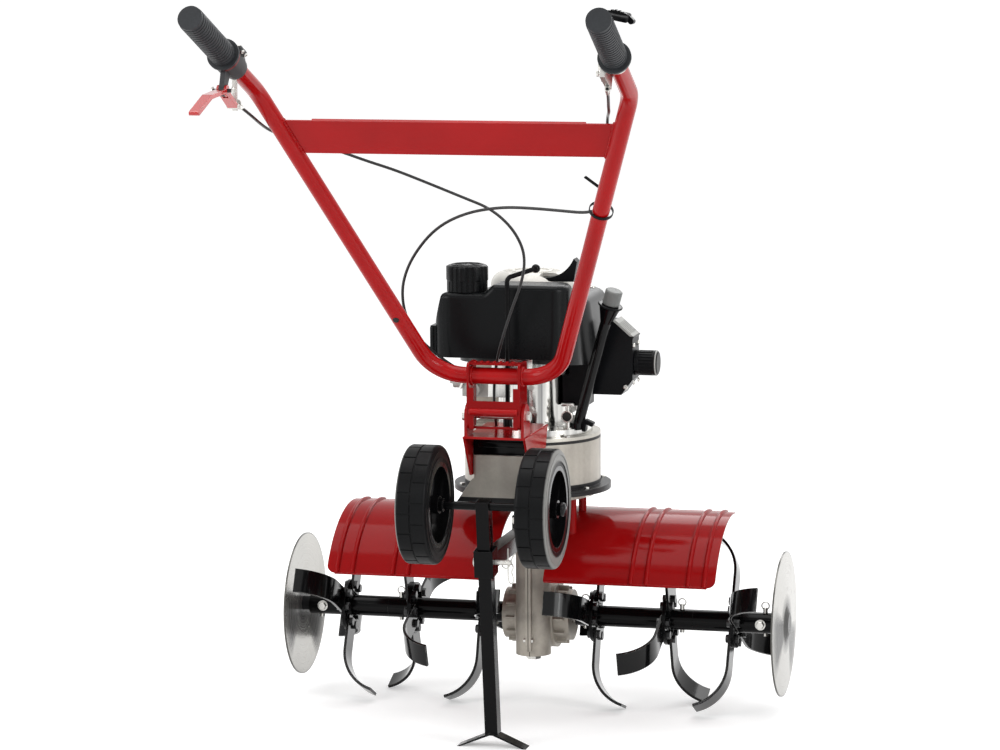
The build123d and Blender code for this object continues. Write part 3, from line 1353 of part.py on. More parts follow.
lever_face = plate_face - air
with BuildPart() as throttle_lever:
    arm_x = (lever_face - throttle_lever_t, lever_face)
    arm_y = (throttle_y - throttle_lever_w / 2, throttle_y + throttle_lever_w / 2)
    arm_z = (throttle_z - throttle_lever_down * 0.5, throttle_z + throttle_lever_up)
    block(arm_x, arm_y, arm_z)
    with BuildSketch(Plane.XZ.offset(-throttle_y)):
        with BuildLine():
            tip_start = (sum(arm_x) / 2, arm_z[1] - throttle_tip_t / 2)
            tip_mid = (sum(arm_x) / 2 * 0.5 + throttle_tip_x * 0.5, arm_z[1])
            tip_end = (throttle_tip_x, arm_z[1] - throttle_tip_drop)
            ThreePointArc(tip_start, tip_mid, tip_end)
        trace(line_width=throttle_tip_t)
        with Locations(tip_start, tip_end):
            Circle(throttle_tip_t / 2)
    extrude(amount=throttle_lever_w / 2, both=True)
    bar_x(throttle_pin_r + running, arm_x[0], arm_x[1], throttle_y, throttle_z, Mode.SUBTRACT)
save(throttle_lever, "throttle_lever")

# Gear lever: a rod with a bent handle and ball, a collar on the frame and an arm over the block
gear_foot = Vector(gear_x, axle_y - gear_back, gear_low)
gear_bend = Vector(gear_x, axle_y - gear_back, gear_top)
gear_tip = gear_bend + Vector(*gear_handle)
with BuildPart() as gear_lever:
    with BuildLine() as gear_path:
        FilletPolyline(gear_foot, gear_bend, gear_tip, radius=gear_corner_r)
    with BuildSketch(Plane(origin=gear_foot, z_dir=(0, 0, 1))):
        Circle(gear_r)
    sweep(path=gear_path.line)
    with Locations(gear_tip):
        Sphere(gear_ball_r)
    post_z(gear_collar_r, frame_top, frame_top + gear_collar_h, gear_x, axle_y - gear_back)
    selector_y = (gear_foot.Y - selector_half, gear_foot.Y + selector_len)
    selector_x = (gear_x - selector_half, gear_x + selector_half)
    block(selector_x, selector_y, (gear_low, gear_low + selector_t))
save(gear_lever, "gear_lever")

# Hood: two shells round the rotor with pressed beads, each on two posts under the case floor
with BuildPart() as hood_right:
    with BuildSketch(rotor_plane.rotated((-hood_front_deg, 0, 0))):
        with Locations(((hood_inner_x + hood_outer_x) / 2, hood_r - hood_t / 2)):
            Rectangle(hood_outer_x - hood_inner_x, hood_t)
        with Locations([(x, hood_r) for x in hood_beads]):
            Circle(hood_bead_r)
        with Locations([(x, hood_r - hood_t) for x in hood_beads]):
            Circle(hood_bead_r - hood_t / 2, mode=Mode.SUBTRACT)
    revolve(axis=axle_axis, revolution_arc=hood_front_deg + hood_rear_deg)
    for end, turn in ((-1, -hood_front_deg), (1, hood_rear_deg)):
        edge_place = Location((0, axle_y, axle_z), (turn, 0, 0))
        corner = (hood_outer_x - hood_corner_r, end * hood_corner_r, hood_r)
        with BuildSketch(Plane(edge_place * Location(corner))):
            with Locations((hood_corner_r, -end * hood_corner_r)):
                Rectangle(2 * hood_corner_r, 2 * hood_corner_r)
            Circle(hood_corner_r, mode=Mode.SUBTRACT)
        extrude(amount=4 * hood_bead_r, both=True, mode=Mode.SUBTRACT)
    for y in behind(*hood_post_y):
        post_z(hood_post_r, axle_z + hood_r / 2, floor_z, hood_post_x, y)
    bar_x(hood_r - hood_t, 0, hood_outer_x, axle_y, axle_z, Mode.SUBTRACT)
save(hood_right, "hood_right")

with BuildPart() as hood_left:
    mirror(hood_right.part, about=Plane.YZ)
save(hood_left, "hood_left")

# Depth bar: a leaning square tube with an inverted V foot at its lower end
lean = radians(depth_lean_deg)
depth_dir = Vector(0, -sin(lean), cos(lean))
depth_foot = Vector(0, axle_y - depth_foot_back, depth_bar_bottom)


def depth_plane(z):
    """The plane across the depth bar where its centre line passes the given height."""
    return Plane(
        origin=depth_foot + depth_dir * ((z - depth_bar_bottom) / cos(lean)),
        x_dir=(1, 0, 0),
        z_dir=depth_dir,
    )


bar_len = (wheel_z - depth_bar_bottom) / cos(lean) + wheel_axle_r + depth_bar_wall
wheel_y = depth_plane(wheel_z).origin.Y
with BuildPart() as depth_bar:
    with Locations(depth_plane(depth_bar_bottom).location):
        Box(depth_bar_w, depth_bar_d, bar_len, align=upright)
        hollow = (depth_bar_w - 2 * depth_bar_wall, depth_bar_d - 2 * depth_bar_wall)
        Box(hollow[0], hollow[1], bar_len - 3 * wheel_axle_r, align=upright, mode=Mode.SUBTRACT)
    with BuildSketch(Plane.XZ.offset(-depth_foot.Y)):
        with BuildLine():
            apex = depth_bar_bottom + foot_t
            Polyline(
                (-foot_half, 0),
                (-foot_half + foot_flat, 0),
                (0, apex - foot_t),
                (foot_half - foot_flat, 0),
                (foot_half, 0),
                (0, apex),
                close=True,
            )
        make_face()
    extrude(amount=foot_depth / 2, both=True)
    for hole in range(depth_holes):
        with Locations(depth_plane(sleeve_z + hole * depth_hole_pitch * cos(lean)).location * Rot(0, 90, 0)):
            Cylinder(depth_notch_r, 2 * depth_bar_w, mode=Mode.SUBTRACT)
    slot_mid = sleeve_z + (depth_holes - 1) / 2 * depth_hole_pitch * cos(lean)
    with Locations(depth_plane(slot_mid).location):
        Box(2 * depth_bar_w, 2 * depth_hole_r, (depth_holes - 1) * depth_hole_pitch, mode=Mode.SUBTRACT)
    bar_x(wheel_axle_r + slip, -depth_bar_w, depth_bar_w, wheel_y, wheel_z, Mode.SUBTRACT)
save(depth_bar, "depth_bar")

# Holder: a sleeve round the bar on an arm, with a plate bolted to the gearbox pad
sleeve_w = depth_bar_w + 2 * depth_gap + 2 * sleeve_wall
sleeve_d = depth_bar_d + 2 * depth_gap + 2 * sleeve_wall
sleeve_plane = depth_plane(sleeve_z)
with BuildPart() as spur_holder:
    with Locations(sleeve_plane.location):
        Box(sleeve_w, sleeve_d, sleeve_len)
    arm_y = (sleeve_plane.origin.Y, pad_y - holder_plate_t)
    arm_z = (holder_z - holder_arm_h / 2, holder_z + holder_arm_h / 2)
    block((-holder_arm_half, holder_arm_half), arm_y, arm_z)
    plate_z = (holder_z - pad_half_h, holder_z + pad_half_h)
    block((-pad_half, pad_half), (pad_y - holder_plate_t, pad_y), plate_z)
    with Locations(sleeve_plane.location):
        Box(depth_bar_w + 2 * depth_gap, depth_bar_d + 2 * depth_gap, 4 * sleeve_len, mode=Mode.SUBTRACT)
    bar_x(depth_hole_r, -sleeve_w, sleeve_w, sleeve_plane.origin.Y, sleeve_z, Mode.SUBTRACT)
save(spur_holder, "spur_holder")

# Locking pin of the depth bar, with a head and a wire clip
lock_r = depth_hole_r - 3 * slip
with BuildPart() as lock_pin:
    bar_x(lock_r, -sleeve_w / 2, sleeve_w / 2 + 3 * pin_reach, sleeve_plane.origin.Y, sleeve_z)
    bar_x(2 * lock_r, -sleeve_w / 2 - lock_r, -sleeve_w / 2, sleeve_plane.origin.Y, sleeve_z)
    clip_x = sleeve_w / 2 + 2 * pin_reach
    with Locations(Location((clip_x, sleeve_plane.origin.Y, sleeve_z - clip_loop_r / 2), (90, 0, 0))):
        Torus(clip_loop_r, clip_wire_r)
save(lock_pin, "lock_pin")

# Wheel axle with end caps, and the two wheels that turn on it
wheel_outer_x = wheel_inner_x + wheel_w
with BuildPart() as wheel_axle:
    axle_half = wheel_outer_x + air + axle_cap_t
    bar_x(wheel_axle_r, -axle_half, axle_half, wheel_y, wheel_z)
    for side in (-1, 1):
        for cap_x in (wheel_outer_x + air, wheel_inner_x - air - axle_cap_t):
            bar_x(axle_cap_r, side * cap_x, side * (cap_x + axle_cap_t), wheel_y, wheel_z)
save(wheel_axle, "wheel_axle")

with BuildPart() as tyre_right:
    bar_x(wheel_r, wheel_inner_x, wheel_outer_x, wheel_y, wheel_z)
    fillet(tyre_right.edges(), tyre_edge_r)
    for row in (0, 1):
        groove_x = wheel_inner_x + wheel_w * (0.25 + 0.5 * row)
        for tread in range(tread_blocks):
            turn = 360 / tread_blocks * (tread + 0.5 * row)
            with Locations(Location((groove_x, wheel_y, wheel_z), (turn, 0, 0))):
                with Locations((0, 0, (wheel_r + tread_base_r) / 2 + slip)):
                    Box(wheel_w / 2, tread_groove_w, wheel_r - tread_base_r, mode=Mode.SUBTRACT)
    groove_mid = wheel_inner_x + wheel_w / 2
    with Locations(Location((groove_mid, wheel_y, wheel_z), (0, 90, 0))):
        Torus(wheel_r, tread_groove_w / 2, mode=Mode.SUBTRACT)
    bar_x(tyre_bore_r, wheel_inner_x, wheel_outer_x, wheel_y, wheel_z, Mode.SUBTRACT)
save(tyre_right, "tyre_right")

with BuildPart() as tyre_left:
    mirror(tyre_right.part, about=Plane.YZ)
save(tyre_left, "tyre_left")

# Spoke: an arc that bows sideways on its way from the hub to the rim
spoke_reach = tyre_bore_r - rim_wall / 2
spoke_end = (spoke_reach * sin(radians(spoke_sweep_deg)), spoke_reach * cos(radians(spoke_sweep_deg)))
with BuildPart() as curved_spoke:
    with BuildSketch(Plane.YZ):
        with BuildLine():
            ThreePointArc((0, 0), (spoke_end[0] / 2 - spoke_bow, spoke_end[1] / 2 + spoke_bow), spoke_end)
        trace(line_width=spoke_w)
    extrude(amount=spoke_t / 2, both=True)

with BuildPart() as rim_right:
    bar_x(tyre_bore_r, wheel_inner_x, wheel_outer_x, wheel_y, wheel_z)
    bar_x(tyre_bore_r - rim_wall, wheel_inner_x, wheel_outer_x, wheel_y, wheel_z, Mode.SUBTRACT)
    bar_x(hub_r, wheel_inner_x, wheel_outer_x, wheel_y, wheel_z)
    for spoke in range(spokes):
        with Locations(Location((groove_mid, wheel_y, wheel_z), (360 / spokes * spoke, 0, 0))):
            add(curved_spoke.part)
    bar_x(wheel_axle_r + running, wheel_inner_x, wheel_outer_x, wheel_y, wheel_z, Mode.SUBTRACT)
save(rim_right, "rim_right")

with BuildPart() as rim_left:
    mirror(rim_right.part, about=Plane.YZ)
save(rim_left, "rim_left")

# Cable tie round the right arm and the throttle cable
tie_point = corner_right + arm_dir * ((tie_z - bar_z) / arm_dir.Z)
tie_shift = cable_r + 2 * air
tie_plane = Plane(origin=tie_point - arm_plane.z_dir * tie_shift, x_dir=(1, 0, 0), z_dir=arm_dir)
tie_r = bar_r + cable_r + 4 * air
with BuildPart() as cable_tie:
    with Locations(tie_plane.location):
        Cylinder(tie_r + tie_t, tie_w)
        Cylinder(tie_r, tie_w, mode=Mode.SUBTRACT)
    with Locations(tie_plane.location * Location((0, tie_r + tie_t / 2, tie_rise / 2))):
        Box(tie_w, tie_t, tie_rise)
    tail_foot = Location((0, tie_r + tie_t / 2, tie_rise - tie_w / 2), (0, -tie_tail_deg, 0))
    with Locations(tie_plane.location * tail_foot * Location((0, 0, tie_tail / 2))):
        Box(tie_w, tie_t, tie_tail)
save(cable_tie, "cable_tie")

# Cables: round tubes along their routes, straight runs joined by tangent arcs
for name, route in (("clutch_cable", clutch_route), ("throttle_cable", throttle_route)):
    cable_points = [from_axle(point) for point in route]
    cable_radii = arc_radii(cable_points)
    with BuildPart() as cable:
        with BuildLine() as cable_path:
            FilletPolyline(*cable_points, radius=cable_radii)
        with BuildSketch(Plane(origin=cable_path.line @ 0, z_dir=cable_path.line % 0)):
            Circle(cable_r)
        sweep(path=cable_path.line)
    print(name, "radii", [round(radius) for radius in cable_radii])
    cable_len = sum(edge.length for edge in cable_path.edges())
    fill = cable.part.volume / (pi * cable_r ** 2 * cable_len)
    print(name, "length", round(cable_len), "volume ratio", round(fill, 4))
    save(cable, name)
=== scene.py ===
import math
from contextlib import contextmanager

import bmesh
import bpy
from mathutils import Matrix, Vector


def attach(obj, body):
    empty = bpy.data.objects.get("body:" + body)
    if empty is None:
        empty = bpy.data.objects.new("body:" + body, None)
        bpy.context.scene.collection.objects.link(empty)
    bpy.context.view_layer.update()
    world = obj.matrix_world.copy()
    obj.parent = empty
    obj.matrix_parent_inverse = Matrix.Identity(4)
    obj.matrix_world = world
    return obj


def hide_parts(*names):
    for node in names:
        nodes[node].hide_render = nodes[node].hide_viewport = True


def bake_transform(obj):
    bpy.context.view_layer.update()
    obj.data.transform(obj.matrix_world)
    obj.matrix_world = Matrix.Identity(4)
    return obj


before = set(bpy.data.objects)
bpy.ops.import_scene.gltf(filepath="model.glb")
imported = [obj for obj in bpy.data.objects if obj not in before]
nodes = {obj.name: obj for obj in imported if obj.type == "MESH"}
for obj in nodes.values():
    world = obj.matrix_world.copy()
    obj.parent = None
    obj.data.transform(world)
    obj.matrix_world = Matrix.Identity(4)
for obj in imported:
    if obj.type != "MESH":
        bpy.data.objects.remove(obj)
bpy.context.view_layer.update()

# The machine stands on z = 0 and drives towards +Y. The operator's right is +X.
# The shaders take metres. The small pieces take millimetres, with Y from the axle.
AXLE_Y = 0.3987
AXLE_HEIGHT = 158.658
CRANK_BACK = -55
WHEEL_BACK = -406.93
WHEEL_HEIGHT = 420
WHEEL_FACE = 127
STOP_BACK = -751
HOOD_RADIUS = 190.6
scene = bpy.context.scene


# Camera

CAMERA_YAW = math.radians(14.0)
CAMERA_RISE = math.radians(7.85)
CAMERA_ROLL = math.radians(-0.3)
CAMERA_DISTANCE = 6.5527
CAMERA_LENS = 133.704
CAMERA_SENSOR = 36.0
LOOK_AT = Vector((-0.0722, AXLE_Y, 0.5833))


def place_camera():
    """A long lens behind the machine, a little above it and to its right."""
    lens = bpy.data.cameras.new("camera")
    lens.lens = CAMERA_LENS
    lens.sensor_width = CAMERA_SENSOR
    camera = bpy.data.objects.new("camera", lens)
    scene.collection.objects.link(camera)
    back = Vector((
        math.sin(CAMERA_YAW) * math.cos(CAMERA_RISE),
        -math.cos(CAMERA_YAW) * math.cos(CAMERA_RISE),
        math.sin(CAMERA_RISE),
    ))
    right = Vector((0, 0, 1)).cross(back).normalized()
    up = back.cross(right)
    rolled_right = math.cos(CAMERA_ROLL) * right + math.sin(CAMERA_ROLL) * up
    rolled_up = math.cos(CAMERA_ROLL) * up - math.sin(CAMERA_ROLL) * right
    turn = Matrix((rolled_right, rolled_up, back)).transposed().to_4x4()
    camera.matrix_world = Matrix.Translation(LOOK_AT + back * CAMERA_DISTANCE) @ turn
    scene.camera = camera


place_camera()


# Node helpers

def put(tree, kind, **sockets):
    """Add one node and set or link its inputs by name."""
    node = tree.nodes.new(kind)
    for name, value in sockets.items():
        feed(tree, node, name, value)
    return node


def feed(tree, node, name, value):
    """Link an output to an input, or set the input's own value."""
    key = int(name[1:]) if name[0] == "_" else name.replace("_", " ")
    socket = node.inputs[key]
    if isinstance(value, bpy.types.NodeSocket):
        tree.links.new(value, socket)
    else:
        socket.default_value = value


def math_node(tree, operation, a, b=0.0, clamp=False):
    node = put(tree, "ShaderNodeMath", _0=a, _1=b)
    node.operation = operation
    node.use_clamp = clamp
    return node.outputs[0]


def times(tree, a, b, clamp=False):
    return math_node(tree, "MULTIPLY", a, b, clamp)


def less(tree, a, b):
    return math_node(tree, "SUBTRACT", a, b)


def own_place(tree):
    """Places in the machine's frame at rest, which stay with a piece when it moves."""
    return tree.nodes.new("ShaderNodeTexCoord").outputs["Object"]


def noise(tree, place, scale, detail=2.0, roughness=0.5):
    node = put(tree, "ShaderNodeTexNoise", Vector=place, Scale=scale, Detail=detail, Roughness=roughness)
    return node.outputs[0]


def line_noise(tree, value, scale, detail=2.0):
    """Noise that changes along one value only."""
    node = put(tree, "ShaderNodeTexNoise", Scale=scale, Detail=detail)
    node.noise_dimensions = "1D"
    feed(tree, node, "W", value)
    return node.outputs[0]


def span(tree, value, low, high, to_low=0.0, to_high=1.0):
    """Carry a value from one range to another, held at its ends."""
    ends = {"From_Min": low, "From_Max": high, "To_Min": to_low, "To_Max": to_high}
    node = put(tree, "ShaderNodeMapRange", Value=value, **ends)
    node.clamp = True
    return node.outputs[0]


def blend_colour(tree, factor, first, second):
    node = tree.nodes.new("ShaderNodeMix")
    node.data_type = "RGBA"
    for index, value in ((0, factor), (6, first), (7, second)):
        if isinstance(value, bpy.types.NodeSocket):
            tree.links.new(value, node.inputs[index])
        else:
            node.inputs[index].default_value = value
    return node.outputs[2]


def start_group(name, inputs, outputs):
    """A shader node group with named sockets: inputs are name and value, outputs names alone."""
    tree = bpy.data.node_groups.new(name, "ShaderNodeTree")
    for label, value in inputs.items():
        socket = tree.interface.new_socket(label, in_out="INPUT", socket_type="NodeSocketFloat")
        socket.default_value = value
    for label in outputs:
        kind = "NodeSocketVector" if label == "Normal" else "NodeSocketFloat"
        tree.interface.new_socket(label, in_out="OUTPUT", socket_type=kind)
    return tree, tree.nodes.new("NodeGroupInput").outputs, tree.nodes.new("NodeGroupOutput")


def place_group(tree, group, **sockets):
    node = tree.nodes.new("ShaderNodeGroup")
    node.node_tree = group
    for name, value in sockets.items():
        feed(tree, node, name, value)
    return node.outputs


# Shared effects

def make_edge_group():
    """Rounded edges for the light, and a mask of the worn line along them."""
    tree, given, out = start_group(
        "Soft Edges", {"Radius": 0.001, "Wear": 0.5, "Breakup": 90.0}, ("Normal", "Edge")
    )
    bevel = put(tree, "ShaderNodeBevel", Radius=given["Radius"])
    bevel.samples = 6
    plain = tree.nodes.new("ShaderNodeNewGeometry").outputs["Normal"]
    likeness = put(tree, "ShaderNodeVectorMath", _0=bevel.outputs[0], _1=plain)
    likeness.operation = "DOT_PRODUCT"
    bend = span(tree, likeness.outputs["Value"], 0.995, 0.86)
    broken = span(tree, noise(tree, own_place(tree), given["Breakup"], 4.0), 0.42, 0.62)
    worn = times(tree, bend, broken)
    feed(tree, out, "Edge", times(tree, worn, given["Wear"], True))
    feed(tree, out, "Normal", bevel.outputs[0])
    return tree


def make_tone_group():
    """Slow, cloudy change of tone with a finer one inside it."""
    tree, given, out = start_group(
        "Tone Clouds", {"Scale": 12.0, "Fine Scale": 160.0, "Fine Share": 0.3}, ("Tone", "Fine")
    )
    place = own_place(tree)
    slow = noise(tree, place, given["Scale"], 3.0, 0.55)
    fine = noise(tree, place, given["Fine Scale"], 5.0, 0.6)
    share = times(tree, fine, given["Fine Share"])
    rest = less(tree, 1.0, given["Fine Share"])
    both = math_node(tree, "ADD", times(tree, slow, rest), share)
    feed(tree, out, "Tone", span(tree, both, 0.3, 0.7))
    feed(tree, out, "Fine", fine)
    return tree


def make_scratch_group():
    """Fine hairline scratches in two directions."""
    tree, given, out = start_group("Hairlines", {"Scale": 40.0, "Amount": 0.5}, ("Lines",))
    place = own_place(tree)
    total = None
    for stretch, turn in (((30.0, 1.0, 3.0), 0.6), ((2.0, 36.0, 1.5), -0.9)):
        lean = (turn, turn * 0.5, turn)
        bent = put(tree, "ShaderNodeMapping", Vector=place, Scale=stretch, Rotation=lean)
        thin = span(tree, noise(tree, bent.outputs[0], given["Scale"]), 0.66, 0.72)
        total = thin if total is None else math_node(tree, "MAXIMUM", total, thin)
    feed(tree, out, "Lines", times(tree, total, given["Amount"], True))
    return tree


def make_cast_group():
    """The pebbled skin of a sand or die casting."""
    tree, given, out = start_group("Cast Skin", {"Scale": 420.0, "Pits": 0.4}, ("Height", "Grime"))
    place = own_place(tree)
    pebble = noise(tree, place, given["Scale"], 6.0, 0.65)
    coarse = times(tree, given["Scale"], 0.6)
    cells = put(tree, "ShaderNodeTexVoronoi", Vector=place, Scale=coarse)
    pit = span(tree, cells.outputs["Distance"], 0.0, 0.25)
    sunk = times(tree, less(tree, pit, 1.0), given["Pits"])
    feed(tree, out, "Height", math_node(tree, "ADD", pebble, sunk))
    cloud = noise(tree, place, 26.0, 6.0, 0.7)
    feed(tree, out, "Grime", span(tree, cloud, 0.45, 0.72))
    return tree


def make_grain_group():
    """The spark-eroded grain of a moulded plastic, or the peel of sprayed paint at a larger scale."""
    tree, given, out = start_group("Fine Grain", {"Scale": 1600.0, "Ripple": 0.3}, ("Height",))
    place = own_place(tree)
    grain = noise(tree, place, given["Scale"])
    slow = noise(tree, place, times(tree, given["Scale"], 0.12))
    swell = times(tree, slow, given["Ripple"])
    feed(tree, out, "Height", math_node(tree, "ADD", grain, swell))
    return tree


def make_dust_group():
    """Light dust that settles on faces that look up."""
    tree, given, out = start_group("Settled Dust", {"Amount": 0.2}, ("Dust",))
    normal = tree.nodes.new("ShaderNodeNewGeometry").outputs["Normal"]
    rise = put(tree, "ShaderNodeSeparateXYZ", Vector=normal).outputs["Z"]
    cloud = noise(tree, own_place(tree), 38.0, 6.0, 0.7)
    laid = times(tree, span(tree, rise, 0.35, 1.0), span(tree, cloud, 0.35, 0.75))
    feed(tree, out, "Dust", times(tree, laid, given["Amount"], True))
    return tree


SOFT_EDGES = make_edge_group()
TONE_CLOUDS = make_tone_group()
HAIRLINES = make_scratch_group()
CAST_SKIN = make_cast_group()
FINE_GRAIN = make_grain_group()
SETTLED_DUST = make_dust_group()


def tone_clouds(tree, scale, fine_scale, fine_share):
    return place_group(tree, TONE_CLOUDS, Scale=scale, Fine_Scale=fine_scale, Fine_Share=fine_share)


def soft_edges(tree, radius, wear, breakup):
    return place_group(tree, SOFT_EDGES, Radius=radius, Wear=wear, Breakup=breakup)


def hairlines(tree, scale, amount):
    return place_group(tree, HAIRLINES, Scale=scale, Amount=amount)


# Finishes

RED = (0.37, 0.004, 0.005, 1)
BLACK = (0.003, 0.003, 0.0034, 1)
ALLOY = (0.42, 0.385, 0.335, 1)
ZINC = (0.46, 0.43, 0.38, 1)
STEEL = (0.62, 0.61, 0.58, 1)
PAINT_DUST = (0.34, 0.3, 0.26, 1)
PLASTIC_DUST = (0.3, 0.28, 0.25, 1)
RUBBER_DUST = (0.28, 0.26, 0.23, 1)
COAT_ROUGHNESS = 0.06


def start_material(name, specular=0.5, coat=0.0):
    """A material whose even values stand on the shader itself."""
    material = bpy.data.materials.new(name)
    material.use_nodes = True
    tree = material.node_tree
    skin = tree.nodes["Principled BSDF"]
    feed(tree, skin, "Specular IOR Level", specular)
    feed(tree, skin, "Coat Weight", coat)
    feed(tree, skin, "Coat Roughness", COAT_ROUGHNESS)
    return material, tree, skin


def shade(colour, factor):
    return tuple(min(1.0, c * factor) for c in colour[:3]) + (1.0,)


def lifted(colour, keep, lift):
    """A paler version of a dark colour, as a rubbed edge shows it."""
    return tuple(c * keep + lift for c in colour[:3]) + (1.0,)


def bumped(tree, height, strength, distance, normal):
    node = put(tree, "ShaderNodeBump", Height=height, Strength=strength, Distance=distance, Normal=normal)
    return node.outputs[0]


def dress(tree, skin, colour, roughness, normal):
    """Lay the values that change over the surface on the shader."""
    for name, value in (("Base Color", colour), ("Roughness", roughness), ("Normal", normal)):
        feed(tree, skin, name, value)


def axis_place(tree, axis):
    return put(tree, "ShaderNodeSeparateXYZ", Vector=own_place(tree)).outputs[axis]


def plus_share(tree, value, mask, share):
    """A value raised by a share of a mask."""
    return math_node(tree, "ADD", value, times(tree, mask, share), True)


def round_line(tree, back, height):
    """Height above and way along from a line across the machine, and the distance from it."""
    up = less(tree, axis_place(tree, "Z"), height / 1000)
    along = less(tree, axis_place(tree, "Y"), AXLE_Y + back / 1000)
    high, long = (times(tree, side, side) for side in (up, along))
    return up, along, math_node(tree, "SQRT", math_node(tree, "ADD", high, long))


def between(tree, value, low, high, soft):
    """1 where a value lies between two limits, with soft ends."""
    rise = span(tree, value, low - soft, low + soft)
    fall = span(tree, value, high - soft, high + soft, 1.0, 0.0)
    return times(tree, rise, fall)


def painted_reflection_bands(tree, scale, amount):
    """Soft upright bands round the crank's axis: a painted reflection, as a polished drum shows its
    surroundings.
    """
    along = less(tree, axis_place(tree, "Y"), AXLE_Y + CRANK_BACK / 1000)
    turn = math_node(tree, "ARCTAN2", along, axis_place(tree, "X"))
    return span(tree, line_noise(tree, turn, scale), 0.42, 0.68, 0.0, amount)


def sprayed_paint(name, colour, primer, roughness, specular, coat, peel=0.04, wear=0.35, dust=0.01):
    """Sprayed and baked paint: slight peel, a clear gloss, worn bright along the edges."""
    material, tree, skin = start_material(name, specular, coat)
    tone = tone_clouds(tree, 9.0, 210.0, 0.25)
    edges = soft_edges(tree, 0.0012, wear, 110.0)
    lines = hairlines(tree, 34.0, 0.3)
    laid = place_group(tree, SETTLED_DUST, Amount=dust)
    body = blend_colour(tree, tone["Tone"], shade(colour, 0.88), shade(colour, 1.1))
    body = blend_colour(tree, edges["Edge"], body, primer)
    body = blend_colour(tree, laid["Dust"], body, PAINT_DUST)
    rough = span(tree, tone["Fine"], 0.3, 0.7, roughness * 0.85, roughness * 1.2)
    rough = plus_share(tree, rough, lines["Lines"], 0.1)
    rough = plus_share(tree, rough, laid["Dust"], 0.4)
    grain = place_group(tree, FINE_GRAIN, Scale=520.0, Ripple=1.6)
    dress(tree, skin, body, rough, bumped(tree, grain["Height"], peel, 0.0004, edges["Normal"]))
    return material


def moulded_plastic(name, colour, roughness, specular=0.35, grain=0.1, dust=0.05, pale_above=None):
    """Moulded plastic with an eroded grain, paler rubbed edges and at will a black lower part, leaving
    only the top in the paler colour as a painted highlight.
    """
    material, tree, skin = start_material(name, specular)
    tone = tone_clouds(tree, 14.0, 260.0, 0.35)
    edges = soft_edges(tree, 0.0009, 0.22, 140.0)
    laid = place_group(tree, SETTLED_DUST, Amount=dust)
    body = blend_colour(tree, tone["Tone"], shade(colour, 0.8), shade(colour, 1.2))
    body = blend_colour(tree, edges["Edge"], body, lifted(colour, 0.8, 0.03))
    # Painted highlight: the part is black below the given height, and only its top keeps the paler colour.
    if pale_above:
        low = span(tree, axis_place(tree, "Z"), pale_above, pale_above + 0.001, 1.0, 0.0)
        body = blend_colour(tree, low, body, blend_colour(tree, tone["Tone"], BLACK, shade(BLACK, 2.2)))
    body = blend_colour(tree, laid["Dust"], body, PLASTIC_DUST)
    rough = span(tree, tone["Tone"], 0.0, 1.0, roughness * 0.88, roughness * 1.14)
    rough = plus_share(tree, rough, laid["Dust"], 0.5)
    height = place_group(tree, FINE_GRAIN, Scale=1500.0, Ripple=0.4)
    dress(tree, skin, body, rough, bumped(tree, height["Height"], grain, 0.0003, edges["Normal"]))
    return material


def cast_metal(
    name, colour, roughness, metallic,
    skin_scale=420.0, skin_depth=0.3, grime=0.45, seam=False, band=None, painted_reflection_amount=0.0,
):
    """Cast light alloy with a pebbled skin, grime and rubbed edges.

    At will it has a parting line, a black band between two heights, or soft upright bands of painted
    reflection, as a polished drum shows them.
    """
    material, tree, skin = start_material(name, 0.2)
    tone = tone_clouds(tree, 16.0, 190.0, 0.4)
    edges = soft_edges(tree, 0.0016, 0.6, 80.0)
    cast = place_group(tree, CAST_SKIN, Scale=skin_scale, Pits=0.35)
    body = blend_colour(tree, tone["Tone"], shade(colour, 0.84), shade(colour, 1.1))
    body = blend_colour(tree, times(tree, cast["Grime"], grime), body, shade(colour, 0.45))
    body = blend_colour(tree, edges["Edge"], body, shade(colour, 1.35))
    metal = span(tree, cast["Grime"], 0.0, 1.0, metallic, metallic * 0.6)
    # Painted reflection: soft upright bands darkened round the crank's axis.
    if painted_reflection_amount:
        body = blend_colour(tree, painted_reflection_bands(tree, 2.4, painted_reflection_amount), body, shade(colour, 0.4))
    if seam:
        line = between(tree, axis_place(tree, "X"), -0.0007, 0.0007, 0.0003)
        body = blend_colour(tree, line, body, shade(colour, 0.12))
    if band:
        dark = between(tree, axis_place(tree, "Z"), band[0], band[1], 0.0004)
        body = blend_colour(tree, dark, body, (0.012, 0.012, 0.013, 1))
        metal = times(tree, metal, less(tree, 1.0, dark))
    feed(tree, skin, "Metallic", metal)
    rough = span(tree, tone["Fine"], 0.25, 0.75, roughness * 0.85, roughness * 1.2)
    dress(tree, skin, body, rough, bumped(tree, cast["Height"], skin_depth, 0.0006, edges["Normal"]))
    return material


def bare_steel(name, colour, roughness, grime=0.25, metallic=1.0):
    """Plated or bright steel with hairlines and a faint haze."""
    material, tree, skin = start_material(name)
    tone = tone_clouds(tree, 30.0, 420.0, 0.4)
    edges = soft_edges(tree, 0.0006, 0.5, 200.0)
    lines = hairlines(tree, 60.0, 0.6)
    body = blend_colour(tree, times(tree, tone["Tone"], grime), colour, shade(colour, 0.55))
    body = blend_colour(tree, edges["Edge"], body, shade(colour, 1.25))
    feed(tree, skin, "Metallic", metallic)
    rough = span(tree, tone["Tone"], 0.0, 1.0, roughness * 0.8, roughness * 1.25)
    rough = plus_share(tree, rough, lines["Lines"], 0.1)
    dress(tree, skin, body, rough, bumped(tree, lines["Lines"], 0.08, 0.0002, edges["Normal"]))
    return material


DISC_RADIUS = 0.127
# Each painted reflection of the dark rotor parts on a disc: its direction from the hub and half its width,
# in radians
DISC_PAINTED_REFLECTIONS = ((3.3, 0.62), (-0.62, 0.5))


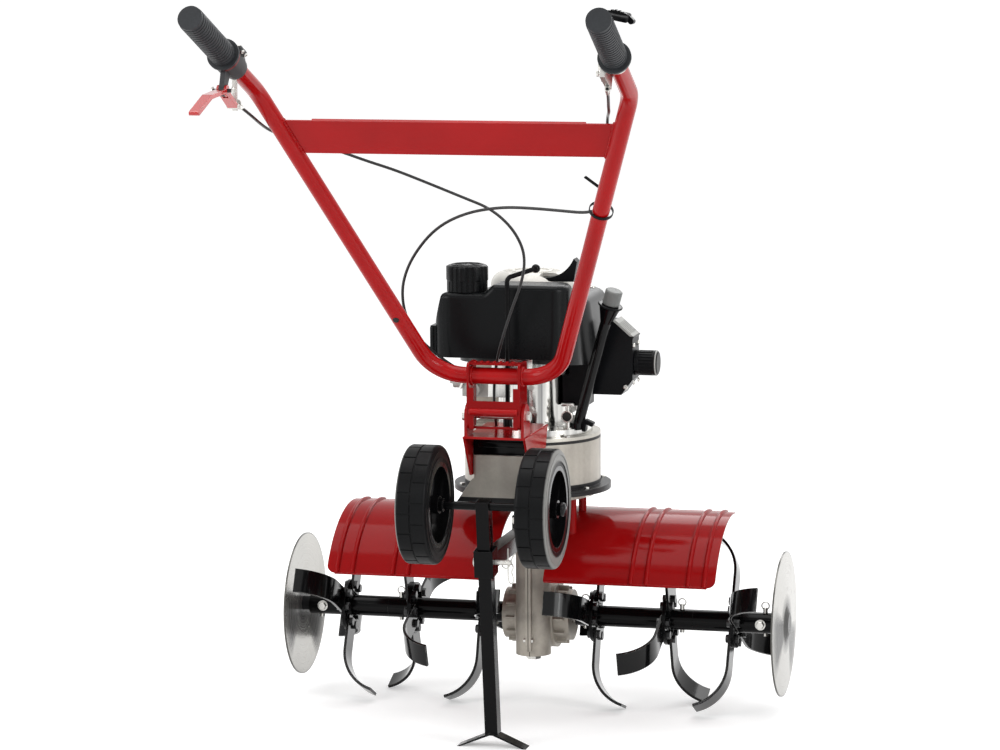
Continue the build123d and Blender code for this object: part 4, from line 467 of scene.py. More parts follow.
def spun_steel(name, colour, dark, roughness):
    """Sheet steel polished on a spindle: fine rings about the rotor's axis, painted shade round the hub,
    painted reflections of the dark rotor parts in wedges from it, and a painted dark line along the rim.
    """
    material, tree, skin = start_material(name, 0.08)
    up, along, reach = round_line(tree, 0, AXLE_HEIGHT)
    rings = line_noise(tree, reach, 900.0, 3.0)
    tone = tone_clouds(tree, 8.0, 320.0, 0.3)
    edges = soft_edges(tree, 0.0008, 0.5, 160.0)
    lines = hairlines(tree, 26.0, 0.5)
    body = blend_colour(tree, tone["Tone"], shade(colour, 0.82), shade(colour, 1.06))
    turn = math_node(tree, "ARCTAN2", up, along)
    # Painted shade round the hub and painted reflections of the dark rotor parts in wedges; the surface
    # stops being metal under them.
    painted_shade_and_reflection = span(tree, reach, 0.055, 0.03)
    for middle, half_width in DISC_PAINTED_REFLECTIONS:
        near = math_node(tree, "COSINE", less(tree, turn, middle))
        wedge = span(tree, near, math.cos(half_width), math.cos(half_width * 0.55))
        wedge = times(tree, wedge, span(tree, reach, 0.124, 0.095, 0.35, 0.95))
        painted_shade_and_reflection = math_node(tree, "MAXIMUM", painted_shade_and_reflection, wedge)
    body = blend_colour(tree, painted_shade_and_reflection, body, dark)
    # Painted shade: a dark line along the disc's rim.
    rim = span(tree, reach, DISC_RADIUS - 0.0022, DISC_RADIUS - 0.0012)
    body = blend_colour(tree, rim, body, shade(colour, 0.2))
    body = blend_colour(tree, span(tree, rings, 0.4, 0.7, 0.0, 0.6), body, shade(colour, 0.7))
    feed(tree, skin, "Metallic", less(tree, 1.0, painted_shade_and_reflection))
    rough = span(tree, rings, 0.3, 0.7, roughness * 0.8, roughness * 1.3)
    rough = plus_share(tree, rough, lines["Lines"], 0.1)
    dress(tree, skin, body, rough, bumped(tree, rings, 0.1, 0.0002, edges["Normal"]))
    return material


def drawn_barrel(name, colour, dark, roughness):
    """A turned and polished alloy barrel: soft upright bands of painted reflection in the dark colour, and
    fine tool lines.
    """
    material, tree, skin = start_material(name)
    fine = line_noise(tree, axis_place(tree, "Z"), 1400.0)
    edges = soft_edges(tree, 0.0012, 0.5, 120.0)
    tone = tone_clouds(tree, 20.0, 300.0, 0.3)
    # Painted reflection: upright bands of the dark colour round the crank's axis.
    body = blend_colour(tree, painted_reflection_bands(tree, 3.2, 1.0), colour, dark)
    body = blend_colour(tree, times(tree, tone["Tone"], 0.15), body, shade(colour, 0.5))
    body = blend_colour(tree, edges["Edge"], body, shade(colour, 1.3))
    feed(tree, skin, "Metallic", 1.0)
    rough = span(tree, tone["Fine"], 0.3, 0.7, roughness * 0.8, roughness * 1.3)
    dress(tree, skin, body, rough, bumped(tree, fine, 0.05, 0.0002, edges["Normal"]))
    return material


def soft_rubber(name, colour, roughness, specular=0.3, grain_scale=900.0, dust=0.1, sidewall_reflection=None):
    """Moulded rubber: matt, slightly bloomed, dusty on top, with at will a pale ring on the outer flank as
    a painted reflection.
    """
    material, tree, skin = start_material(name, specular)
    tone = tone_clouds(tree, 22.0, 300.0, 0.5)
    edges = soft_edges(tree, 0.0008, 0.4, 160.0)
    laid = place_group(tree, SETTLED_DUST, Amount=dust)
    body = blend_colour(tree, tone["Tone"], shade(colour, 0.75), shade(colour, 1.3))
    # Painted reflection: a pale ring on the tyre's outer flank.
    if sidewall_reflection:
        out = math_node(tree, "ABSOLUTE", axis_place(tree, "X"))
        face = WHEEL_FACE / 1000
        flank = span(tree, out, face - 0.0036, face - 0.0012)
        reach = round_line(tree, WHEEL_BACK, WHEEL_HEIGHT)[2]
        flank = times(tree, flank, span(tree, reach, 0.0785, 0.081))
        pale = blend_colour(tree, tone["Tone"], shade(sidewall_reflection, 0.8), sidewall_reflection)
        body = blend_colour(tree, flank, body, pale)
    body = blend_colour(tree, edges["Edge"], body, lifted(colour, 0.8, 0.008))
    body = blend_colour(tree, laid["Dust"], body, RUBBER_DUST)
    rough = span(tree, tone["Fine"], 0.3, 0.7, roughness * 0.9, roughness * 1.1)
    height = place_group(tree, FINE_GRAIN, Scale=grain_scale, Ripple=0.6)
    dress(tree, skin, body, rough, bumped(tree, height["Height"], 0.18, 0.0004, edges["Normal"]))
    return material


def control_plastic(name, colour, steel, roughness):
    """The left control's plastic clamp, with the steel plate that stops the cable below it."""
    material, tree, skin = start_material(name, 0.35)
    tone = tone_clouds(tree, 18.0, 300.0, 0.4)
    edges = soft_edges(tree, 0.0009, 0.3, 150.0)
    lines = hairlines(tree, 80.0, 0.5)
    stop_y = AXLE_Y + STOP_BACK / 1000
    ahead = between(tree, axis_place(tree, "Y"), stop_y - 0.005, stop_y + 0.001, 0.0004)
    below = span(tree, axis_place(tree, "Z"), 1.1500, 1.1490)
    plate = times(tree, ahead, below)
    body = blend_colour(tree, tone["Tone"], shade(colour, 0.75), shade(colour, 1.25))
    body = blend_colour(tree, edges["Edge"], body, lifted(colour, 0.7, 0.08))
    body = blend_colour(tree, plate, body, steel)
    feed(tree, skin, "Metallic", plate)
    rough = span(tree, tone["Fine"], 0.3, 0.7, roughness * 0.9, roughness * 1.15)
    rough = less(tree, rough, times(tree, plate, 0.2))
    rough = plus_share(tree, rough, lines["Lines"], 0.06)
    grain = place_group(tree, FINE_GRAIN, Scale=1300.0, Ripple=0.4)
    dress(tree, skin, body, rough, bumped(tree, grain["Height"], 0.12, 0.0003, edges["Normal"]))
    return material


red_paint = sprayed_paint("red_paint", RED, (0.5, 0.06, 0.05, 1), 0.15, 0.14, 0.04)
# A darker copy of red_paint: painted shade on the hood, its lips and the handlebar bracket.
painted_shade_red = sprayed_paint("painted_shade_red", shade(RED, 0.7), (0.42, 0.05, 0.04, 1), 0.11, 0.09, 0.0)
lever_paint = sprayed_paint(
    "lever_paint", (0.5, 0.02, 0.02, 1), (0.7, 0.5, 0.46, 1), 0.18, 0.5, 0.5, wear=0.8, dust=0.04
)
black_paint = sprayed_paint("black_paint", BLACK, (0.1, 0.1, 0.1, 1), 0.13, 0.1, 0.0, peel=0.06, wear=0.4)
tine_paint = sprayed_paint("tine_paint", BLACK, (0.3, 0.29, 0.27, 1), 0.12, 0.2, 0.08, peel=0.07, wear=0.9)
tank_plastic = moulded_plastic(
    "tank_plastic", (0.0035, 0.004, 0.0045, 1), 0.26, 0.11, grain=0.04, dust=0.01
)
cowl_plastic = moulded_plastic("cowl_plastic", (0.012, 0.0125, 0.013, 1), 0.3, 0.4, grain=0.04, dust=0.02)
black_plastic = moulded_plastic("black_plastic", (0.003, 0.0032, 0.004, 1), 0.3, 0.1, dust=0.01)
rim_plastic = moulded_plastic("rim_plastic", (0.003, 0.003, 0.0034, 1), 0.15, 0.18, grain=0.03, dust=0.01)
grey_plastic = moulded_plastic("grey_plastic", (0.15, 0.155, 0.15, 1), 0.45)
# The air filter cover is black, with its pale top as a painted highlight.
filter_grey = moulded_plastic("filter_grey", (0.34, 0.34, 0.325, 1), 0.4, 0.2, pale_above=0.668)
pale_plastic = moulded_plastic("pale_plastic", (0.66, 0.645, 0.6, 1), 0.36)
knob_grey = moulded_plastic("knob_grey", (0.3, 0.3, 0.29, 1), 0.4)
ring_plastic = moulded_plastic("ring_plastic", (0.16, 0.006, 0.007, 1), 0.4)
clamp_plastic = control_plastic("clamp_plastic", (0.035, 0.036, 0.038, 1), STEEL, 0.5)
gearbox_alloy = cast_metal("gearbox_alloy", ALLOY, 0.46, 0.35, seam=True)
engine_alloy = cast_metal("engine_alloy", (0.4, 0.39, 0.37, 1), 0.48, 0.5)
# The drum carries painted reflection bands round the crank's axis.
case_zinc = cast_metal(
    "case_zinc", ZINC, 0.34, 0.4, 700.0, 0.1, grime=0.16, band=(0.40, 0.4135), painted_reflection_amount=0.55
)
floor_zinc = cast_metal("floor_zinc", ZINC, 0.34, 0.4, 700.0, 0.1, grime=0.2, band=(0.3962, 0.42))
plate_alloy = cast_metal("plate_alloy", (0.5, 0.48, 0.43, 1), 0.3, 0.7, 800.0, 0.06, grime=0.12)
# The barrel's dark colour is its painted reflection.
barrel_alloy = drawn_barrel("barrel_alloy", (0.72, 0.71, 0.68, 1), (0.2, 0.2, 0.2, 1), 0.14)
# The discs' dark colour is their painted shade and reflection.
disc_steel = spun_steel("disc_steel", (0.4, 0.39, 0.365, 1), (0.012, 0.0125, 0.014, 1), 0.24)
plated_steel = bare_steel("plated_steel", STEEL, 0.28)
dark_steel = bare_steel("dark_steel", (0.008, 0.008, 0.009, 1), 0.3, metallic=0.0)
exhaust_steel = bare_steel("exhaust_steel", (0.3, 0.27, 0.23, 1), 0.45, grime=0.6)
bronze = bare_steel("bronze", (0.55, 0.36, 0.14, 1), 0.38)
iron = bare_steel("iron", (0.22, 0.22, 0.22, 1), 0.5)
grip_rubber = soft_rubber("grip_rubber", (0.022, 0.024, 0.027, 1), 0.48, 0.25)
seal_rubber = soft_rubber("seal_rubber", (0.006, 0.006, 0.006, 1), 0.5)
# The pale ring on the tyres' outer flanks is a painted reflection.
tyre_rubber = soft_rubber(
    "tyre_rubber", (0.004, 0.0043, 0.0047, 1), 0.36, 0.09, 700.0, dust=0.01, sidewall_reflection=(0.24, 0.24, 0.23, 1)
)
cable_skin = soft_rubber("cable_skin", (0.007, 0.007, 0.0075, 1), 0.3, 0.4, 1800.0, dust=0.03)

FINISHES = {
    red_paint: "handlebar_tube crossbar main_frame",
    # Painted shade: the hood and the bracket take the darker copy of the red paint.
    painted_shade_red: "hood_left hood_right handlebar_bracket",
    lever_paint: "clutch_lever",
    black_paint: "depth_bar spur_holder inner_tine_tubes outer_tine_tubes gear_lever wheel_axle",
    tine_paint: "tines_left tines_right",
    gearbox_alloy: "gearbox_half_left gearbox_half_right",
    engine_alloy: "carburettor cylinder flywheel",
    case_zinc: "clutch_case",
    floor_zinc: "case_floor",
    plate_alloy: "engine_plate",
    barrel_alloy: "crankcase",
    disc_steel: "plant_disc_left plant_disc_right",
    plated_steel: (
        "output_shaft worm_shaft crankshaft clutch_yoke gearbox_bearings "
        "body_bolts tine_pins lock_pin throttle_bracket"
    ),
    dark_steel: "tine_bolts",
    exhaust_steel: "muffler",
    iron: "clutch_cup",
    bronze: "worm_wheel",
    tank_plastic: "fuel_tank fuel_cap",
    cowl_plastic: "engine_cowl",
    rim_plastic: "rim_left rim_right oil_tube",
    black_plastic: "air_filter_box filter_knob throttle_lever cable_tie starter_grip",
    clamp_plastic: "clutch_clamp",
    grey_plastic: "dipstick",
    filter_grey: "air_filter_cover",
    pale_plastic: "starter_cover",
    grip_rubber: "handle_grips",
    seal_rubber: "case_seal",
    tyre_rubber: "tyre_left tyre_right",
    cable_skin: "clutch_cable throttle_cable",
}


def finish_nodes():
    for material, names in FINISHES.items():
        for name in names.split():
            slots = nodes[name].data.materials
            slots.clear()
            slots.append(material)


finish_nodes()


# Cables

def from_axle(point):
    """A point in millimetres with Y from the axle, in metres in the machine's frame."""
    return Vector((point[0] / 1000, point[1] / 1000 + AXLE_Y, point[2] / 1000))


CABLE_RADIUS = 0.0025
CLUTCH_ROUTE = [
    (-309, -750, 1107), (-304, -722, 1095), (-301, -690, 1082), (-301, -655, 1070), (-301, -622, 1060),
    (-296, -590, 1050), (-282, -560, 1041), (-252, -532, 1029), (-213, -510, 1016), (-172, -492, 999),
    (-130, -470, 983), (-78, -445, 959), (-26, -418, 934), (11, -396, 916), (39, -372, 886),
    (54, -350, 851), (55, -334, 820), (45, -320, 783), (28, -308, 746), (12, -297, 706),
    (-1, -287, 670), (-10, -279, 636), (-15, -272, 600), (-17, -263, 566), (-18, -248, 538),
    (-22, -226, 518), (-27, -206, 506), (-30, -193, 499), (-31, -184, 487),
]
THROTTLE_ROUTE = [
    (292, -777, 1136), (287, -747, 1121), (280, -715, 1108), (274, -684, 1097), (267, -655, 1091),
    (260, -628, 1086), (254, -604, 1071), (249, -583, 1048), (246, -557, 1012), (240, -534, 978),
    (232, -517, 949), (222, -505, 930), (197, -494, 920), (150, -480, 922), (95, -465, 924),
    (41, -447, 923), (-25, -420, 910), (-84, -390, 881), (-131, -358, 832), (-157, -330, 786),
    (-165, -306, 746), (-161, -285, 710), (-146, -266, 678), (-124, -246, 652), (-104, -226, 632),
    (-92, -198, 617), (-90, -166, 610), (-90, -138, 606), (-91, -112, 603),
]


def spline_curve(name, points, bevel):
    """One smooth NURBS line through the places of a route, as thick as asked."""
    curve = bpy.data.curves.new(name, "CURVE")
    curve.dimensions = "3D"
    curve.resolution_u = 6
    curve.bevel_depth = bevel
    curve.bevel_resolution = 4
    curve.use_fill_caps = bevel > 0
    spline = curve.splines.new("NURBS")
    spline.points.add(len(points) - 1)
    for place, point in zip(spline.points, points):
        place.co = (*point, 1.0)
    spline.order_u = 3
    spline.use_endpoint_u = True
    return curve


def curve_mesh(name, points, bevel):
    holder = bpy.data.objects.new(name + "_line", spline_curve(name, points, bevel))
    scene.collection.objects.link(holder)
    graph = bpy.context.evaluated_depsgraph_get()
    mesh = bpy.data.meshes.new_from_object(holder.evaluated_get(graph))
    curve = holder.data
    bpy.data.objects.remove(holder)
    bpy.data.curves.remove(curve)
    mesh.name = name
    return mesh


def add_piece(name, mesh, body, material, crease=40.0):
    """Put a finished mesh in the scene and let it move with a body of the machine."""
    mesh.materials.clear()
    mesh.materials.append(material)
    mesh.shade_smooth()
    mesh.set_sharp_from_angle(angle=math.radians(crease))
    piece = bpy.data.objects.new(name, mesh)
    scene.collection.objects.link(piece)
    if body:
        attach(piece, body)
    return piece


def control_cable(name, node, route):
    """A cable from a control down to the machine, put in place of the node, which is hidden; it stays
    where it is made.
    """
    points = [from_axle(point) for point in route]
    line = curve_mesh(name + "_path", points, 0.0)
    bpy.data.meshes.remove(line)
    mesh = curve_mesh(name, points, CABLE_RADIUS)
    piece = add_piece(name, mesh, None, cable_skin, 60.0)
    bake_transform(piece)
    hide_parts(node)


control_cable("clutch_line", "clutch_cable", CLUTCH_ROUTE)
control_cable(
    "throttle_line", "throttle_cable", THROTTLE_ROUTE
)


# Mesh tools for the small pieces, in millimetres with Y from the axle

def frame_at(place, along, about=(1, 0, 0)):
    """A frame whose Z runs along a direction and whose X leans to another one."""
    z = Vector(along).normalized()
    lean = Vector(about)
    if lean.cross(z).length < 0.01:
        lean = Vector((0, 1, 0))
    x = (lean - z * z.dot(lean)).normalized()
    y = z.cross(x)
    turn = Matrix((x, y, z)).transposed().to_4x4()
    return Matrix.Translation(Vector(place)) @ turn


def turned(shape, profile, place, along, sides=40):
    """A turned form: radius and height pairs spun about a line. Six sides make a hexagon."""
    frame_here = frame_at(place, along)
    rows = []
    for radius, height in profile:
        if radius == 0:
            rows.append([shape.verts.new(frame_here @ Vector((0, 0, height)))])
            continue
        row = []
        for step in range(sides):
            angle = 2 * math.pi * step / sides
            spot = Vector((radius * math.cos(angle), radius * math.sin(angle), height))
            row.append(shape.verts.new(frame_here @ spot))
        rows.append(row)
    for low, high in zip(rows, rows[1:]):
        for step in range(sides):
            after = (step + 1) % sides
            if len(low) == 1:
                shape.faces.new((low[0], high[after], high[step]))
            elif len(high) == 1:
                shape.faces.new((low[step], low[after], high[0]))
            else:
                shape.faces.new((low[step], low[after], high[after], high[step]))


def ring(shape, inner, outer, low, high, place, along, round_off=0.6, sides=48):
    """A closed band round a line with softened outer corners."""
    profile = [
        (inner, low), (outer - round_off, low), (outer, low + round_off),
        (outer, high - round_off), (outer - round_off, high), (inner, high), (inner, low),
    ]
    turned(shape, profile, place, along, sides)


def hex_head(shape, across, height, place, along, washer=1.5):
    """A hexagon head with a chamfer on a round washer face."""
    turned(shape, [(0, 0), (across * 0.72, 0), (across * 0.72, washer), (0, washer)], place, along, 32)
    radius = across / math.sqrt(3)
    profile = [
        (0, washer), (radius, washer), (radius, height * 0.86), (radius * 0.88, height), (0, height),
    ]
    turned(shape, profile, place, along, 6)


def screw_head(shape, radius, height, place, along):
    """A pan head with a sunk middle."""
    profile = [
        (0, 0), (radius, 0), (radius, height * 0.45), (radius * 0.8, height * 0.9),
        (radius * 0.45, height), (radius * 0.38, height * 0.5), (0, height * 0.4),
    ]
    turned(shape, profile, place, along, 28)


def slab(shape, size, place, along=(0, 0, 1), about=(1, 0, 0), edge=1.0, steps=2):
    """A block with rounded edges, its middle at a place."""
    frame_here = frame_at(place, along, about)
    scale = Matrix.Diagonal((*size, 1.0))
    made = bmesh.ops.create_cube(shape, size=1.0, matrix=frame_here @ scale)
    lines = {line for vertex in made["verts"] for line in vertex.link_edges}
    bmesh.ops.bevel(shape, geom=list(lines), offset=edge, segments=steps, affect="EDGES", profile=0.5)


def spokes(count):
    """Directions spread evenly round an upright line."""
    angles = [2 * math.pi * step / count for step in range(count)]
    return [Vector((math.cos(angle), math.sin(angle), 0)) for angle in angles]


def weld_bead(shape, points, radius, spacing):
    """A row of overlapping flattened beads along straight runs."""
    for start, end in zip(points, points[1:]):
        start, end = Vector(start), Vector(end)
        count = max(2, int((end - start).length / spacing))
        for step in range(count + 1):
            place = start.lerp(end, step / count)
            swell = 1.0 + 0.12 * math.sin(step * 2.3)
            size = Matrix.Diagonal((radius * swell, radius * swell, radius * swell * 0.8, 1.0))
            lay = frame_at(place, end - start) @ size
            bmesh.ops.create_icosphere(shape, subdivisions=2, radius=1.0, matrix=lay)


def wire(shape, points, radius):
    """A bent wire along a smooth line through a few places."""
    mesh = curve_mesh("wire", [Vector(point) for point in points], radius)
    shape.from_mesh(mesh)
    bpy.data.meshes.remove(mesh)


@contextmanager
def detail(name, body, slot, material, crease=40.0):
    """A small piece: gives the mesh to build in, and finishes the piece where the block ends."""
    shape = bmesh.new()
    yield shape
    bmesh.ops.remove_doubles(shape, verts=shape.verts[:], dist=0.001)
    bmesh.ops.recalc_face_normals(shape, faces=shape.faces[:])
    shape.transform(Matrix.Translation((0, AXLE_Y, 0)) @ Matrix.Diagonal((0.001, 0.001, 0.001, 1.0)))
    mesh = bpy.data.meshes.new(name)
    shape.to_mesh(mesh)
    shape.free()
    add_piece(name, mesh, body, material, crease)


# Small pieces on the handlebar

SIDES = (-1, 1)
UP = (0, 0, 1)
BACK = (0, -1, 0)
RIGHT = (1, 0, 0)


def mirrored(vector, side):
    return Vector((vector[0] * side, vector[1], vector[2]))


GRIP_START = Vector((309.6, -805.67, 1185.47))
GRIP_WAY = Vector((0.04104, -0.9124, 0.40726))
LEFT_START = mirrored(GRIP_START, -1)
LEFT_WAY = mirrored(GRIP_WAY, -1)
ARM_FOOT = Vector((106.5, -314, 626))
ARM_WAY = Vector((0.31, -0.5443, 0.7794))
SHEET_BACK = Vector((0, -0.8198, -0.5725))


def left_control():
    with detail("left_grip_ring", "handlebar", "red_paint", ring_plastic) as shape:
        ring(shape, 22.6, 23.8, -8.5, -2.5, LEFT_START, LEFT_WAY)

    outward = Vector((0.82, 0.2, 0.5))
    outward = (outward - LEFT_WAY * LEFT_WAY.dot(outward)).normalized()
    middle = LEFT_START - LEFT_WAY * 19
    with detail("clamp_lug", "handlebar", "black_plastic", clamp_plastic) as shape:
        slab(shape, (13, 10, 27), middle + outward * 24, LEFT_WAY, outward, 3.6, 4)
    with detail("clamp_screws", "handlebar", "steel", plated_steel) as shape:
        face = LEFT_WAY.cross(outward)
        for shift in (-7, 7):
            screw_head(shape, 3.6, 2.6, middle + outward * 26.5 + LEFT_WAY * shift + face * 4.8, face)
            screw_head(shape, 3.6, 2.6, middle + outward * 26.5 + LEFT_WAY * shift - face * 4.8, -face)
        for end in SIDES:
            screw_head(shape, 6, 3.4, (-310 + 15.6 * end, -812, 1131), (end, 0, 0))

    with detail("clutch_adjuster", "handlebar", "steel", plated_steel) as shape:
        cable_way = Vector((5, 28, -12))
        stop = Vector((-309, -750, 1107))
        thread = [(2.6, -5), (4.3, -5), (4.3, 0)]
        for turn in range(6):
            thread += [(4.3, 6 + 2 * turn), (3.7, 7 + 2 * turn)]
        turned(shape, thread + [(4.3, 18), (2.6, 20), (2.6, -5)], stop, cable_way, 24)
        hex_head(shape, 11, 5.5, stop + cable_way.normalized() * 1.5, cable_way, 1.2)

    with detail("cable_nipple", "clutch_handle", "steel", plated_steel) as shape:
        nipple = [(0, -10), (3.4, -10), (4.2, -9), (4.2, 9), (3.4, 10), (0, 10)]
        turned(shape, nipple, (-310, -762, 1103), RIGHT, 24)


def right_control():
    with detail("throttle_ferrule", "handlebar", "steel", plated_steel) as shape:
        ferrule = [(2.6, -4), (4.2, -4), (4.2, 5), (3.4, 7), (3.4, 15), (2.6, 16), (2.6, -4)]
        turned(shape, ferrule, (292, -777, 1136), (-5, 30, -15), 24)
        hex_head(shape, 9, 6, (288.4, -798, 1172), (-1, 0, 0))
        hex_head(shape, 8, 5, (288.4, -765, 1148), (-1, 0, 0))

    with detail("thumb_pad", "throttle", "black_plastic", black_plastic) as shape:
        slab(shape, (34, 26, 9), (312, -786, 1248), (0.2, -0.35, 1), (1, 0, -0.25), 3.6, 4)

    with detail("thumb_ribs", "throttle", "black_plastic", black_plastic) as shape:
        for step in range(6):
            across = -14 + 6 * step
            height = 1252 - 0.1689 * across - 0.01674 * across ** 2
            slab(shape, (2.2, 13.4, 2), (308.8 + across, -782, height + 4.8), edge=0.6)

    with detail("tie_head", "handlebar", "black_plastic", black_plastic) as shape:
        tie = Vector((225.4, -519.9, 927)) + Vector((0, 0.82, 0.5725)) * 20.6
        slab(shape, (8.5, 6, 7), tie, ARM_WAY, edge=1.2)


def handlebar_welds():
    with detail("crossbar_welds", "handlebar", "red_paint", red_paint, 180.0) as shape:
        for side in SIDES:
            low, high = Vector((248.4 * side, -588.5, 1019)), Vector((269.9 * side, -626.2, 1073))
            for face in SIDES:
                shift = SHEET_BACK * (face * 1.9)
                weld_bead(shape, [low + shift, high + shift], 2.9, 3.6)
        for side in SIDES:
            for face in SIDES:
                foot = Vector((side * (46 if face > 0 else 41.5), -314, 626))
                angles = [math.radians(15 * step) for step in range(25)]
                turn = [foot + Vector((0, 15 * math.sin(a), 15 * math.cos(a))) for a in angles]
                weld_bead(shape, turn, 2.2, 3.2)

    # Painted shade: the teeth take the darker red, like the bracket.
    with detail("bracket_teeth", "handlebar", "red_paint", painted_shade_red) as shape:
        for step in range(-3, 4):
            slab(shape, (5, 9, 5), (step * 11, -327, 650.5), edge=1.2)

    # The roll keeps the brighter red paint, beside the bracket's painted shade.
    with detail("bracket_roll", "handlebar", "red_paint", red_paint) as shape:
        roll = [(0, 0), (4.6, 0), (5.6, 1), (5.6, 82), (4.6, 83), (0, 83)]
        turned(shape, roll, (-41.5, -338, 568), RIGHT, 32)

    with detail("arm_plug", "handlebar", "rubber", seal_rubber) as shape:
        spot = mirrored(ARM_FOOT + ARM_WAY * 140, -1) + SHEET_BACK * 13.2
        turned(shape, [(0, 0), (5.6, 0), (5.2, 1.4), (3, 2.1), (0, 2.3)], spot, SHEET_BACK, 28)


left_control()
right_control()
handlebar_welds()


# Small pieces on the engine

CAP_MIDDLE = (-86, -173)


def tank_details():
    with detail("tank_flutes", "chassis", "black_plastic", tank_plastic) as shape:
        for step in range(4):
            slab(shape, (3.4, 4.4, 47), (-147.2, -187 + 9 * step, 667), edge=1.4)
            slab(shape, (4.6, 3.4, 47), (-143 + 9 * step, -191.8, 667), edge=1.4)

    with detail("cap_crown", "tank_cap", "black_plastic", tank_plastic) as shape:
        ring(shape, 23, 27.5, -0.5, 1.3, (*CAP_MIDDLE, 797.5), UP, 0.5)
        for way in spokes(6):
            slab(shape, (13, 3, 1.6), Vector((*CAP_MIDDLE, 797.7)) + way * 15, UP, way, 0.5)

    with detail("cap_lobes", "tank_cap", "black_plastic", tank_plastic) as shape:
        for way in spokes(8):
            slab(shape, (4, 11, 25), Vector((*CAP_MIDDLE, 783)) + way * 34.2, UP, way, 1.7, 3)


COWL_LEAN = math.tan(math.radians(8))


def cowl_details():
    with detail("cowl_louvres", "chassis", "black_plastic", cowl_plastic) as shape:
        for step in range(6):
            height = 640 + 13 * step
            draw_in = COWL_LEAN * (height - 622)
            slab(shape, (130, 5, 5.5), (0, 84.4 - draw_in, height), edge=1.6)
            slab(shape, (5, 96, 5.5), (-121.4 + draw_in, -10, height), edge=1.6)

    with detail("cowl_screws", "chassis", "steel", plated_steel) as shape:
        for x in (-84, 86):
            screw_head(shape, 5.5, 3.4, (x, 42, 737.8), UP)
        for y in (-74, -36):
            for z in (588, 652):
                screw_head(shape, 4.4, 3, (183.8, y, z), RIGHT)
        screw_head(shape, 4.4, 3, (172, -82, 580), BACK)

    with detail("cover_ring", "chassis", "grey_plastic", pale_plastic) as shape:
        middle = Vector((0, CRANK_BACK, 776))
        ring(shape, 30, 36, -0.6, 1.6, middle, UP, 0.8, 64)
        for way in spokes(18):
            slab(shape, (13, 2.6, 1.8), middle + way * 43, UP, way, 0.7)

    with detail("knob_ring", "filter_screw", "grey_plastic", knob_grey) as shape:
        ring(shape, 17, 22.3, 0, 3.2, (219.6, CRANK_BACK, 620), RIGHT, 1.2)

    with detail("filter_slots", "chassis", "black_plastic", black_plastic) as shape:
        slope = Vector((30, 0, 34)).normalized()
        for step in range(-2, 3):
            slot = Vector((167, CRANK_BACK + 10.8 * step, 679)) + slope * 2.1
            slab(shape, (27, 4.2, 0.5), slot, slope, (34, 0, -30), 0.1, 1)


def oil_filler_details():
    foot, top, collar = Vector((90, -100, 509)), Vector((158, -140, 730)), (76, -115, 531)
    way = (top - foot).normalized()
    with detail("filler_lip", "chassis", "black_plastic", black_plastic) as shape:
        ring(shape, 19.4, 21.6, -3.4, 0.2, top, way, 1.0)
        slab(shape, (17, 18, 8), (112, -101, 519), (0.38, 0, 0.92), edge=2, steps=3)
        slab(shape, (7, 18, 20), (104, -101, 514), (0.1, 0, 1), edge=1.5)

    with detail("filler_bolt", "chassis", "steel", plated_steel) as shape:
        stud = [(0, 0), (7.5, 0), (7.5, 2), (4.2, 2.6), (4.2, 41), (0, 41)]
        turned(shape, stud, (76, -112, 509), UP, 28)
        slab(shape, (23, 8, 6.4), (76, -112, 551), edge=2.4, steps=3)
        ring(shape, 8.2, 10.4, -4, 5, collar, BACK, 0.8)
    with detail("filler_bolt_collar", "chassis", "rubber", seal_rubber) as shape:
        turned(shape, [(0, -6), (8, -6), (8.2, 4.4), (5, 5.4), (0, 5.6)], collar, BACK, 32)


def carburettor_details():
    with detail("carburettor_fittings", "chassis", "steel", plated_steel) as shape:
        hex_head(shape, 11, 7, (-89, -134, 575.4), BACK)
        screw_head(shape, 4, 3, (-124, -112, 590), BACK)
        screw_head(shape, 3.4, 2.6, (-76, -112, 600), BACK)
        slab(shape, (24, 2.4, 17), (-120, -114, 600), edge=0.8)
        slab(shape, (5, 2.2, 26), (-110, -116, 586), (0.4, 0, 1), edge=0.8)
        ferrule = [(2.6, -3), (4.1, -3), (4.1, 6), (3.4, 8), (3.4, 14), (2.6, 15), (2.6, -3)]
        turned(shape, ferrule, (-90.8, -116, 603.4), (1, -26, 4), 24)

    with detail("barrel_bolts", "chassis", "steel", plated_steel) as shape:
        for height in (540, 580):
            hex_head(shape, 9, 6, (11, -113.4, height), (0.19, -0.98, 0))

    with detail("muffler_ribs", "chassis", "steel", exhaust_steel) as shape:
        for step in range(5):
            slab(shape, (66, 3.6, 5), (-102, 99.2, 530 + 15 * step), edge=1.2)


tank_details()
cowl_details()
oil_filler_details()
carburettor_details()


# Small pieces on the frame, the depth bar and the wheels

